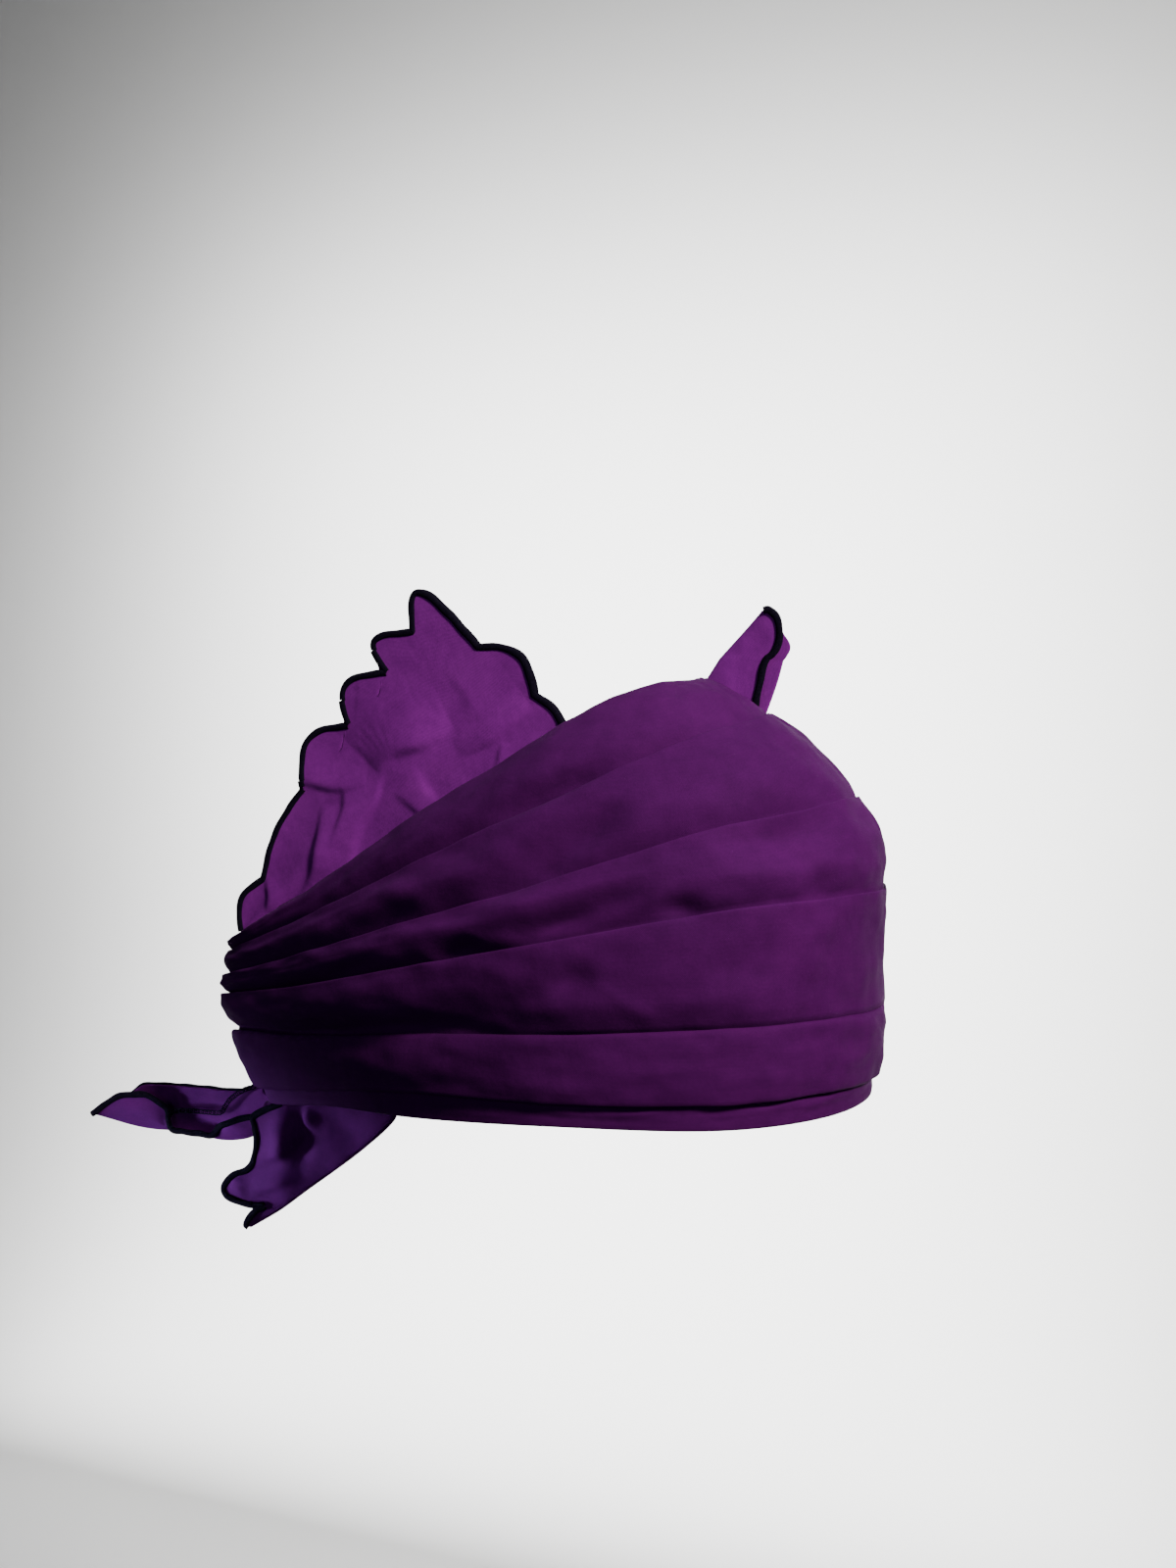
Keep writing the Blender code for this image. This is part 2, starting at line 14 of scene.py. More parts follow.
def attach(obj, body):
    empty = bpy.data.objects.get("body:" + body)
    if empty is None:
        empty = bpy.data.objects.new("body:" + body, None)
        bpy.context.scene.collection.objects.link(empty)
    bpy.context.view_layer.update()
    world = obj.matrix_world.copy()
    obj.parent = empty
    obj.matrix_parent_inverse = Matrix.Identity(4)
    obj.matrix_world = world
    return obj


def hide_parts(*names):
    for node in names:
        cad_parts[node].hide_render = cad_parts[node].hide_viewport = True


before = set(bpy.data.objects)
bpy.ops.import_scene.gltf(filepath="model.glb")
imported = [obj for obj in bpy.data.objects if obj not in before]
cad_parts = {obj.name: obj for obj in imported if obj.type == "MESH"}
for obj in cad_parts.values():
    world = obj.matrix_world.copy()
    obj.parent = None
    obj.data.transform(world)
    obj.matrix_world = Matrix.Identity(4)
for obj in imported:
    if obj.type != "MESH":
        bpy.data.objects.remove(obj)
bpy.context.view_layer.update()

# Head opening and crown, as in the part
FRONT_REACH = 0.102
SIDE_REACH = 0.083
BACK_REACH = 0.182
CROWN_HEIGHT = 0.158
FRONT_LEAN = 0.070
NAPE_TUCK = 0.026
NAPE_AIM = 0.080
NAPE = np.array([-NAPE_AIM, 0.0, 0.0])

# Cloth, folds and the room between layers
CLOTH = 0.0018
GAP = 0.0003
BAND_GAP = 0.0005
BAND_WALL = 0.0022
BAND_BULGE = 0.0010
BAND_ROUND = 0.03
PLEAT_STEP = 0.0066
LIP_DROP = 0.0034
RECESS = 0.0008
LEAST_OFFSET = 0.0006

# Each pleat's face: height of its swell, and its share of the face at least and at most
CREST_RISE = 0.0120
CREST_SHARES = (0.30, 0.62)
FACE_SAG = 0.10
SAG_START = 0.7

# Where the recess at a pleat's foot ends, going forward, in places round the head
SHALLOW_END = 3.3
SHALLOW_FADE = 1.0
BAND_SHALLOW_END = 3.9
BAND_SIDE = 0.0046

# The top pleat stands higher at the sides than in front
TOP_LIP = 0.0030
TOP_LIP_START = 1.3
TOP_LIP_FADE = 1.2

# A pleat's lip: levels up it, and the share of the way back in; then down behind it
LIP_SHARE = 0.90
LIP_TURN = ((0.994, 0.02), (1.0, 0.10), (0.998, 0.22), (0.985, 0.34))
BEHIND_LIP = ((0.5, 0.50), (1.0, 0.74), (1.0, 0.96), (0.4, 1.0))
TOP_ROLL = ((0.004, 0.80), (0.0, 0.62), (0.004, 0.40))

# Waves of the wall: how far out, their size and a seed, in metres or in places and levels
Wave = namedtuple("Wave", "out size seed in_places")
WALL_WAVES = (
    Wave(0.00035, (0.012, 0.012, 0.006), 11.0, False),
    Wave(0.00060, (0.22, 0.22, 1.0), 9.5, True),
    Wave(0.00100, (0.65, 0.42, 1.0), 5.0, True),
)
RIM_STILL = 0.05
SLOPE_STEP = 0.01

# Cover over the top: levels of its hidden hem and of the turn inwards, and its curve
COVER_HEM = (5.70, 5.80, 5.90)
COVER_UNDER = 5.97
COVER_TURN = 5.98
COVER_EDGE = 6.0 - 1e-6
COVER_LEAVE = 0.5
COVER_ARRIVE = 0.7
COVER_WAVE = Wave(0.0006, (0.05, 0.02, 0.05), 3.1, False)
SEAM_STILL = 0.001

# Standing fan at the back
FAN_LENGTH = 0.163
FAN_HEIGHT = 0.156
FAN_TAIL = 0.004
FAN_RISE = 0.0045
FAN_RELIEF = 0.0045
LEAF_SPREAD = 0.0002
FAN_FOOT_LENGTH = 0.148
FAN_FOOT_INSET = 0.008
FAR_FAN_GROWTH = 1.02
INNER_SHARE = 0.84
FAN_SHEET = 0.0009
FOOT_FREES = 3.0
CREASE_FREES = 4.0
FAN_FINE = Wave(0.00022, (0.018, 1.0, 0.018), 7.3, False)
FAN_BROAD = Wave(0.0008, (0.06, 1.0, 0.05), 1.7, False)

# Folded corner over the top
CORNER_SIDE = 0.020
CORNER_SPREAD = 0.0012
CORNER_ROLL = 0.0012
CORNER_FADE = 25.0

# Knot and tie ends
KNOT_LENGTH = 0.024
KNOT_WIDTH = 0.019
KNOT_HEIGHT = 0.019
KNOT_CENTRE = (-0.1617, 0.0, -0.0327)
KNOT_HOLE = 0.004
KNOT_BELT = 0.20
KNOT_GROOVE = 0.22
KNOT_GROOVE_WIDTH = 0.03
UPPER_SIDE = 0.0
LOWER_SIDE = -0.0137
TIE_ROLL = 0.0014
TIE_SHEET = 0.0009
WEAVE_PITCH = 0.0006

# Stitched black edging
EDGING_WIDTH = 0.0028
EDGING_THICKNESS = 0.0009
STITCH_PITCH = 0.00055
STITCH_DEPTH = 0.00016
STITCH_SLANT = 0.35
EDGING_LIFT = 0.0006
EDGING_SHIFT = 0.12
EDGING_ROUND = 1.3
RIPPLE_LENGTH = 0.0021
RIPPLE_SHARE = 0.10

# Crocheted chain across the upper tie
CHAIN_PITCH = 0.0021
CHAIN_THREAD = 0.00028
CHAIN_OUT = 0.0009
LOOP_LENGTH = 0.72
LOOP_WIDTH = 0.45
LOOP_TILT = 0.0002

# Mesh fineness
AROUND = 420
COVER_ROWS = 40
FAN_ROWS = 150
LOBE_STEPS = 26
LEAF_ROWS = 36
FACE_STEPS = 20
INNER_ROWS = 26
BAND_ROWS = 22
BAND_INNER_ROWS = 12
CORNER_STEPS = 90
UPPER_TIE_STEPS = 150
LOWER_TIE_STEPS = 200
THREAD_SIDES = 10
LOOP_STEPS = 14
LOOP_SIDES = 6
KNOT_ROWS = 90
KNOT_COLUMNS = 140

# Dome curve, as in the part
DOME_POWER = 1.6
DOME_TURN = 0.92
TUCK_POWER = 1.3
LEVELS = 6
UNDER_BAND_TOP = 1.5

# Cloth colour from its darkest to its lightest patches
PURPLE_TONES = ((0.30, (0.044, 0.0008, 0.058)), (0.50, (0.064, 0.0014, 0.081)),
                (0.72, (0.090, 0.0028, 0.108)))
# Painted light: the fan leaves and the top corner take a lighter copy of the cloth colour, by this
# factor (green by this factor to GREEN_POWER), standing in for light that shines through the thin
# cloth
LEAF_PAINTED_LIGHT_LIFT = 3.2
# Painted light: the tie ends take a lighter copy of the cloth colour, by this factor, standing in
# for light that falls on them
TIE_PAINTED_LIGHT_LIFT = 1.7
GREEN_POWER = 1.85

Section = namedtuple(
    "Section",
    "along across lean straight tuck rim fold_1 fold_2 fold_3 fold_4 fold_5 fold_6 "
    "crisp mid_along mid_up",
)
SECTIONS = {
    "front": Section(
        1.00, 0.00, 1.00, 0.56, 0.17, 0.000, 0.050, 0.220, 0.500, 0.710, 0.910, 1.000,
        0.20, 0.18, 0.995),
    "brow": Section(
        0.89, 0.46, 0.94, 0.52, 0.17, 0.000, 0.063, 0.231, 0.500, 0.685, 0.880, 0.987,
        0.45, 0.12, 0.990),
    "temple": Section(
        0.58, 0.82, 0.79, 0.45, 0.17, 0.000, 0.060, 0.228, 0.475, 0.635, 0.823, 0.946,
        0.90, 0.00, 0.965),
    "side": Section(
        0.05, 1.00, 0.60, 0.38, 0.17, 0.000, 0.054, 0.210, 0.405, 0.530, 0.700, 0.835,
        1.00, -0.12, 0.900),
    "behind_ear": Section(
        -0.30, 0.93, 0.43, 0.33, 0.23, -0.028, 0.038, 0.174, 0.323, 0.420, 0.550, 0.660,
        1.00, -0.31, 0.756),
    "rear_side": Section(
        -0.62, 0.67, 0.23, 0.30, 0.46, -0.070, -0.020, 0.123, 0.240, 0.313, 0.405, 0.470,
        0.90, -0.55, 0.480),
    "rear_corner": Section(
        -0.92, 0.33, 0.07, 0.30, 0.72, -0.124, -0.072, 0.085, 0.177, 0.228, 0.294, 0.316,
        0.60, -0.81, 0.300),
    "back": Section(
        -1.00, 0.00, 0.04, 0.30, 0.78, -0.143, -0.090, 0.050, 0.146, 0.200, 0.266, 0.291,
        0.50, -0.92, 0.272),
}
LAST = len(SECTIONS) - 1
FOLD_NAMES = ("rim", "fold_1", "fold_2", "fold_3", "fold_4", "fold_5", "fold_6")
MIRRORED = ("across",)

Cusp = namedtuple("Cusp", "along up bulge skew")
FAN_CUSPS = (
    Cusp(0.990, 0.600, 0.10, 0.00),
    Cusp(0.905, 0.695, 0.26, 0.00),
    Cusp(0.747, 0.831, 0.54, 0.50),
    Cusp(0.553, 0.880, 0.66, 0.15),
    Cusp(0.480, 0.770, 0.45, 0.10),
    Cusp(0.360, 0.623, 0.34, 0.00),
    Cusp(0.213, 0.445, 0.08, 0.00),
    Cusp(0.083, 0.178, 0.23, 0.00),
    Cusp(0.012, 0.022, 0.00, 0.00),
)
# Folds that run out of the fan's tail: turn from level, width in turns, share of the relief
FAN_FOLDS = ((0.035, 0.018, -1.0), (0.075, 0.020, 0.6), (0.115, 0.020, -0.5), (0.17, 0.03, 0.3))

# Creases: a path in shares of the fan or thousandths of a metre, the rest in metres
Crease = namedtuple("Crease", "path depth wide sharp")
FAN_CREASES = (
    Crease(((0.150, 0.462), (0.230, 0.452), (0.323, 0.436), (0.424, 0.455)), 0.0015, 0.010, 0.0006),
    Crease(((0.275, 0.400), (0.262, 0.280), (0.242, 0.190), (0.157, 0.077)), 0.0024, 0.014, 0.0007),
    Crease(((0.480, 0.500), (0.448, 0.404), (0.405, 0.341), (0.372, 0.263), (0.341, 0.150)),
           -0.0022, 0.015, 0.0006),
    Crease(((0.457, 0.480), (0.504, 0.532), (0.595, 0.556), (0.680, 0.600)), 0.0026, 0.020, 0.0010),
    Crease(((0.690, 0.528), (0.778, 0.562), (0.831, 0.604), (0.900, 0.660)), 0.0020, 0.013, 0.0007),
    Crease(((0.812, 0.570), (0.800, 0.510), (0.788, 0.460)), 0.0012, 0.006, 0.0005),
    Crease(((0.086, 0.180), (0.103, 0.130), (0.100, 0.080)), 0.0012, 0.006, 0.0005),
    Crease(((0.300, 0.640), (0.380, 0.600), (0.470, 0.640), (0.560, 0.700)), 0.0007, 0.020, 0.0020),
    Crease(((0.340, 0.450), (0.345, 0.380), (0.310, 0.280)), 0.0011, 0.009, 0.0006),
    Crease(((0.560, 0.520), (0.600, 0.440), (0.640, 0.400)), -0.0010, 0.012, 0.0009),
    Crease(((0.640, 0.780), (0.700, 0.700), (0.720, 0.620)), 0.0006, 0.012, 0.0012),
    Crease(((0.500, 0.430), (0.560, 0.380), (0.600, 0.330)), 0.0010, 0.010, 0.0007),
)

# Outlines of the corner and the tie ends, in thousandths of a metre: along and up
CORNER_FOLD = ((28.9, 162.5), (41.5, 175.8), (53.7, 188.6))
CORNER_NEAR = ((51.6, 160.6), (53.1, 164.3), (55.0, 168.1), (58.4, 170.8), (60.8, 174.5),
               (61.7, 179.2), (60.3, 185.9), (56.9, 189.6), (54.5, 189.5))
CORNER_FAR = ((54.1, 163.3), (59.7, 166.7), (63.7, 171.4), (64.5, 175.3), (61.7, 180.2),
              (58.0, 186.0), (54.8, 189.0))

UPPER_FOLD = ((-170.0, -39.0), (-174.6, -40.8), (-182.0, -43.8), (-191.7, -45.6),
              (-200.4, -45.2), (-211.6, -43.9), (-224.2, -44.0), (-237.1, -44.4),
              (-252.7, -42.7), (-268.1, -40.3))
UPPER_NEAR = ((-170.0, -31.8), (-176.0, -32.4), (-185.4, -35.0), (-193.9, -38.7),
              (-198.9, -43.2), (-206.0, -43.2), (-214.0, -43.1), (-220.6, -42.6),
              (-222.9, -37.4), (-225.2, -32.4), (-231.5, -28.8), (-238.0, -27.5),
              (-248.4, -28.9), (-253.6, -30.6), (-260.2, -34.8), (-267.4, -39.6))
UPPER_FAR = ((-168.0, -24.2), (-173.6, -23.6), (-175.6, -19.8), (-178.6, -20.1),
             (-184.0, -22.7), (-191.0, -23.8), (-213.1, -23.8), (-228.4, -24.3),
             (-241.3, -25.2), (-249.2, -30.1), (-259.8, -36.8), (-267.6, -40.0))
UPPER_CHAIN = ((-225.0, -40.4), (-223.5, -36.4), (-219.9, -34.7), (-212.4, -34.0), (-203.6, -33.8),
               (-195.4, -33.3), (-192.5, -29.9), (-189.5, -26.3), (-182.7, -21.8), (-176.0, -19.6))

LOWER_FOLD = ((-104.0, -17.6), (-96.8, -20.5), (-100.3, -27.0), (-117.2, -41.4), (-138.8, -57.4),
              (-153.9, -68.6), (-168.7, -77.8))
LOWER_NEAR = ((-151.0, -20.5), (-160.0, -24.6), (-166.6, -28.4), (-165.6, -33.0), (-164.5, -38.8),
              (-166.2, -47.5), (-169.7, -51.7), (-176.5, -55.0), (-181.7, -60.4), (-180.9, -64.3),
              (-176.5, -66.4), (-168.7, -67.7), (-160.2, -66.6), (-164.1, -68.9), (-168.7, -73.4),
              (-170.4, -76.6), (-169.0, -77.7))
LOWER_FAR = ((-148.0, -20.5), (-158.0, -30.0), (-160.0, -44.0), (-164.0, -52.0), (-171.0, -57.0),
             (-174.0, -63.0), (-160.0, -66.0), (-161.0, -70.0), (-168.0, -77.4))
# Swells of a tie end's leaf, in thousandths of a metre: place, reach both ways, how far out
Swell = namedtuple("Swell", "along up wide high out")
LOWER_SWELLS = (
    Swell(-150.5, -35.0, 6.5, 10.0, 4.4), Swell(-142.0, -34.0, 4.0, 9.0, -4.4),
    Swell(-138.2, -27.5, 3.2, 3.8, 3.4), Swell(-150.0, -57.0, 9.0, 5.0, 1.8),
    Swell(-173.0, -60.0, 5.0, 4.0, 1.6), Swell(-120.0, -31.0, 9.0, 6.0, -1.8),
)
LOWER_CREASES = (
    Crease(((-166.1, -50.5), (-155.0, -45.7), (-148.1, -42.5), (-141.8, -35.0), (-140.0, -27.7)),
           0.0034, 0.006, 0.0008),
    Crease(((-168.0, -64.0), (-155.0, -58.5), (-141.0, -53.0)), 0.0022, 0.007, 0.0009),
)
UPPER_SWELLS = (
    Swell(-240.0, -36.0, 14.0, 5.0, 1.6), Swell(-186.0, -38.5, 8.0, 4.0, 1.8),
    Swell(-210.0, -39.0, 12.0, 4.0, -1.6),
)
UPPER_CREASES = (
    Crease(((-226.0, -42.0), (-223.5, -36.4), (-219.9, -34.7)), -0.0022, 0.005, 0.0007),
    Crease(((-219.9, -34.7), (-203.6, -33.8), (-193.0, -32.0)), -0.0018, 0.005, 0.0007),
)

# Hollows pressed into the pleats: a path of place round the head and level, width and depth
Hollow = namedtuple("Hollow", "path wide depth")
HOLLOWS = (
    Hollow(((3.50, 5.10), (3.05, 5.16), (2.55, 5.16)), 0.0046, 0.0052),
    Hollow(((3.60, 4.12), (3.20, 4.28), (2.80, 4.44), (2.45, 4.52)), 0.0070, 0.0068),
    Hollow(((3.35, 3.12), (3.05, 3.28), (2.72, 3.42), (2.35, 3.50)), 0.0052, 0.0058),
    Hollow(((2.42, 3.30), (2.28, 3.16), (2.10, 3.08)), 0.0036, 0.0028),
    Hollow(((3.86, 3.10), (3.65, 3.22), (3.50, 3.36)), 0.0046, 0.0036),
    Hollow(((5.60, 2.25), (4.40, 2.20), (3.60, 2.28), (3.20, 2.42), (2.85, 2.58)), 0.0085, 0.0040),
    Hollow(((3.06, 2.50), (2.90, 2.60), (2.74, 2.62)), 0.0036, 0.0030),
    Hollow(((2.10, 3.70), (1.60, 3.76), (1.20, 3.78), (0.50, 3.74)), 0.0060, 0.0044),
    Hollow(((1.60, 3.52), (1.35, 3.46), (1.15, 3.38)), 0.0040, 0.0020),
    Hollow(((1.50, 3.20), (1.10, 3.14), (0.60, 3.10)), 0.0050, 0.0014),
    Hollow(((1.60, 4.35), (0.90, 4.50), (0.05, 4.55)), 0.0130, -0.0022),
    Hollow(((3.60, 3.66), (3.20, 3.70), (2.80, 3.76)), 0.0050, -0.0010),
    Hollow(((2.00, 2.75), (1.90, 2.45), (1.80, 2.15)), 0.0070, 0.0010),
    Hollow(((1.50, 2.75), (1.35, 2.45), (1.25, 2.15)), 0.0080, -0.0010),
    Hollow(((2.82, 2.65), (2.60, 2.34), (2.38, 2.04)), 0.0018, -0.0007),
    Hollow(((4.90, 3.20), (4.50, 3.28), (4.20, 3.30)), 0.0040, 0.0018),
    Hollow(((4.60, 4.20), (4.20, 4.28), (3.90, 4.34)), 0.0040, 0.0022),
    Hollow(((2.00, 5.30), (1.50, 5.42), (1.00, 5.40)), 0.0080, 0.0016),
)

# Metres of cloth in one place and one level, and how far the far side's hollows are moved
PLACE_LENGTH = 0.040
LEVEL_LENGTH = 0.028
FAR_SHIFT = 0.35

# Camera of the photograph
CAMERA_PLACE = (0.1578, -0.4746, 0.1185)
CAMERA_TURN = 20.0
CAMERA_LENS = 28.125
SENSOR = 36.0

# Pale floor that sweeps up behind the scarf; it starts behind it, clear of the cloth's light
FLOOR_HEIGHT = -1.0
FLOOR_FRONT = 0.6
FLOOR_SIDE = 5.0
SWEEP_START = 1.0
SWEEP_BEND = 1.0
SWEEP_STEPS = 24
BACKDROP_TOP = 4.0

# Lights, in metres, watts and degrees
WORLD_POWER = 0.03
WARM = (1.0, 0.97, 0.86)
COOL = (0.72, 0.78, 1.0)
PLAIN = (1.0, 1.0, 1.0)
Lamp = namedtuple("Lamp", "name place aim size power tint spread")
LAMPS = (
    Lamp("key", (1.12, -0.62, 0.90), (-0.03, 0.0, 0.08), 0.22, 33.0, WARM, 180.0),
    Lamp("top", (0.05, 0.06, 1.40), (-0.03, 0.0, 0.05), 0.30, 7.0, PLAIN, 180.0),
    Lamp("side", (-0.1, -1.3, 0.35), (-0.12, 0.0, 0.06), 0.6, 1.4, COOL, 180.0),
    Lamp("tie", (-0.50, -0.17, -0.12), (-0.178, 0.0, -0.064), 0.06, 0.06, COOL, 26.0),
    Lamp("backdrop", (-0.6, 1.25, 0.2), (-0.6, 2.1, 0.1), 2.0, 90.0, PLAIN, 180.0),
)


def reach(share):
    """A distance along x, from its share of the front or the back reach."""
    return share * (FRONT_REACH if share > 0.0 else BACK_REACH)


def measured(row):
    """A section in metres, from its shares."""
    heights = {name: CROWN_HEIGHT * getattr(row, name) for name in FOLD_NAMES + ("mid_up",)}
    return row._replace(
        along=reach(row.along), across=SIDE_REACH * row.across, lean=FRONT_LEAN * row.lean,
        tuck=NAPE_TUCK * row.tuck, crisp=PLEAT_STEP * row.crisp,
        mid_along=reach(row.mid_along), **heights)


ROWS = [measured(row) for row in SECTIONS.values()]
FAN_START = -(BACK_REACH + FAN_TAIL)
FAN_LIFT = ROWS[LAST].mid_up + FAN_RISE
FAN_REAR_FOOT = -(BACK_REACH - FAN_FOOT_INSET)
FAN_FRONT_FOOT = FAN_REAR_FOOT + FAN_FOOT_LENGTH


def blend(before, start, end, after, t):
    """A smooth curve through start and end that looks one value either way."""
    slope = 0.5 * (end - before)
    next_slope = 0.5 * (after - start)
    rise = end - start
    return (start + slope * t + (3.0 * rise - 2.0 * slope - next_slope) * t ** 2
            + (slope + next_slope - 2.0 * rise) * t ** 3)


def column(place, field):
    """A size at each place from 0, the front, to LAST, the back; place is an array."""
    values = np.array([getattr(row, field) for row in ROWS])
    sign = -1.0 if field in MIRRORED else 1.0
    padded = np.concatenate(([sign * values[1]], values, [sign * values[-2]]))
    index = np.clip(place.astype(int), 0, LAST - 1)
    t = place - index
    return blend(*(padded[index + shift] for shift in range(4)), t)


def fold_height(place, level):
    """Height of a level, which runs from 0 at the rim to LEVELS at the last fold."""
    index = np.clip(np.floor(level).astype(int), 0, LEVELS - 1)
    stack = np.stack([column(place, name) for name in FOLD_NAMES])
    low = np.take_along_axis(stack, index[None], 0)[0]
    high = np.take_along_axis(stack, index[None] + 1, 0)[0]
    return low + (high - low) * (level - index)


def shoulder(turn):
    return 1.0 - (1.0 - turn ** DOME_POWER) ** (1.0 / DOME_POWER)


def unit(vectors):
    return vectors / np.linalg.norm(vectors, axis=-1, keepdims=True)


def skin(place, level):
    """Inner face of the cloth on the near side, for arrays of place and level."""
    height = fold_height(place, level)
    plan = np.stack([column(place, "along"), -column(place, "across"), 0.0 * place], axis=-1)
    middle = np.stack([column(place, "mid_along"), 0.0 * place, 0.0 * place], axis=-1)
    top = column(place, "fold_6")
    start = top * column(place, "straight")
    turn = DOME_TURN * np.clip((height - start) / (top - start), 0.0, 1.05)
    lean = column(place, "lean") * shoulder(turn) / shoulder(DOME_TURN)
    tuck_top = column(place, "fold_3")
    drop = np.clip((tuck_top - height) / (tuck_top - column(place, "rim")), 0.0, None)
    tuck = column(place, "tuck") * drop ** TUCK_POWER
    point = plan + unit(middle - plan) * lean[..., None] + unit(NAPE - plan) * tuck[..., None]
    point[..., 2] = height
    return point


def outward(place, levels):
    """Unit vectors out of the cloth on the near side."""
    up = skin(place, levels + SLOPE_STEP) - skin(place, levels - SLOPE_STEP)
    run = skin(place + SLOPE_STEP, levels) - skin(place - SLOPE_STEP, levels)
    normal = unit(np.cross(run, up))
    inward = unit(NAPE - skin(place, levels) * [1.0, 1.0, 0.0])
    flip = np.where((normal * inward).sum(-1) > 0.0, -1.0, 1.0)
    return normal * flip[..., None]


def stations():
    """Places all round, the same ones folded on the near half, and which were folded."""
    all_round = 2.0 * LAST * (np.arange(AROUND) / AROUND)
    mirrored = all_round > LAST
    return all_round, np.where(mirrored, 2.0 * LAST - all_round, all_round), mirrored


def ring_grid(levels, offsets):
    """Points round the head for profile rows: levels and offsets are rows x stations arrays."""
    all_round, near_place, mirrored = stations()
    place = near_place[None] + 0.0 * levels
    base = skin(place, levels)
    free = np.clip(offsets / CLOTH, 0.0, 1.0) * np.clip(levels - RIM_STILL, 0.0, 1.0)
    round_place = all_round[None] + 0.0 * levels
    pressed = offsets - free * hollows_at(round_place, levels)
    offsets = np.maximum(pressed, np.minimum(offsets, LEAST_OFFSET))
    spots = base * np.where(mirrored, -1.0, 1.0)[None, :, None]
    cloth = np.stack([round_place, levels, 0.0 * levels], axis=-1)
    offsets = offsets + free * sum(
        wave.out * noise_at(cloth if wave.in_places else spots, wave.size, wave.seed)
        for wave in WALL_WAVES)
    points = base + outward(place, levels) * offsets[..., None]
    points[:, mirrored, 1] *= -1.0
    return points


def hollows_at(place, level):
    """Depth of the hollows; the far side has the same ones, a little further round."""
    depth = 0.0 * place
    for shift, sign in ((0.0, 1.0), (2.0 * LAST - FAR_SHIFT, -1.0)):
        spots = np.stack([sign * (place - shift) * PLACE_LENGTH, level * LEVEL_LENGTH], axis=-1)
        for hollow in HOLLOWS:
            path = smooth_line(hollow.path, 4 * len(hollow.path)) * [PLACE_LENGTH, LEVEL_LENGTH]
            away, _, taper = nearest_on(path, spots)
            depth = depth + hollow.depth * taper ** 1.5 * np.exp(-(away / hollow.wide) ** 2)
    return depth


def noise_at(points, size, seed):
    """Smooth noise from -1 to 1 at a grid of points, sizes in metres along each axis."""
    flat = (points / np.array(size)).reshape(-1, 3) + seed
    values = np.array([noise.noise(Vector(spot)) for spot in flat])
    return values.reshape(points.shape[:-1])


def make_mesh(name, points, faces, cloth=None):
    mesh = bpy.data.meshes.new(name)
    mesh.from_pydata([tuple(point) for point in points], [], faces)
    mesh.validate()
    bm = bmesh.new()
    bm.from_mesh(mesh)
    bmesh.ops.recalc_face_normals(bm, faces=bm.faces)
    bm.to_mesh(mesh)
    bm.free()
    for face in mesh.polygons:
        face.use_smooth = True
    if cloth is not None:
        layer = mesh.attributes.new("cloth", "FLOAT_VECTOR", "POINT")
        layer.data.foreach_set("vector", np.asarray(cloth, dtype=float).ravel())
    thing = bpy.data.objects.new(name, mesh)
    bpy.context.scene.collection.objects.link(thing)
    return thing


def grid_faces(rows, columns, wrap_rows, wrap_columns):
    faces = []
    for row in range(rows if wrap_rows else rows - 1):
        after = (row + 1) % rows
        for index in range(columns if wrap_columns else columns - 1):
            beside = (index + 1) % columns
            faces.append((row * columns + index, row * columns + beside,
                          after * columns + beside, after * columns + index))
    return faces


def cloth_coordinates(grid, signed):
    """Distances along and across the cloth, in metres, at each point of a grid."""
    along = run_lengths(grid, 1)
    along = along.mean(axis=0, keepdims=True) + 0.0 * along
    if signed:
        half = grid.shape[1] // 2
        total = along[:, -1:]
        along = np.where(np.arange(grid.shape[1]) > half, along - total, along)
    return np.stack([along, run_lengths(grid, 0), 0.0 * along], axis=-1)


def ring_object(name, levels, offsets):
    grid = ring_grid(levels, offsets)
    cloth = cloth_coordinates(grid, True)
    faces = grid_faces(grid.shape[0], grid.shape[1], True, True)
    return make_mesh(name, grid.reshape(-1, 3), faces, cloth.reshape(-1, 3))


def profile_arrays(rows):
    """rows of (level, offset) where each is a number or an array over stations."""
    levels = np.stack([np.zeros(AROUND) + row[0] for row in rows])
    offsets = np.stack([np.zeros(AROUND) + row[1] for row in rows])
    return levels, offsets


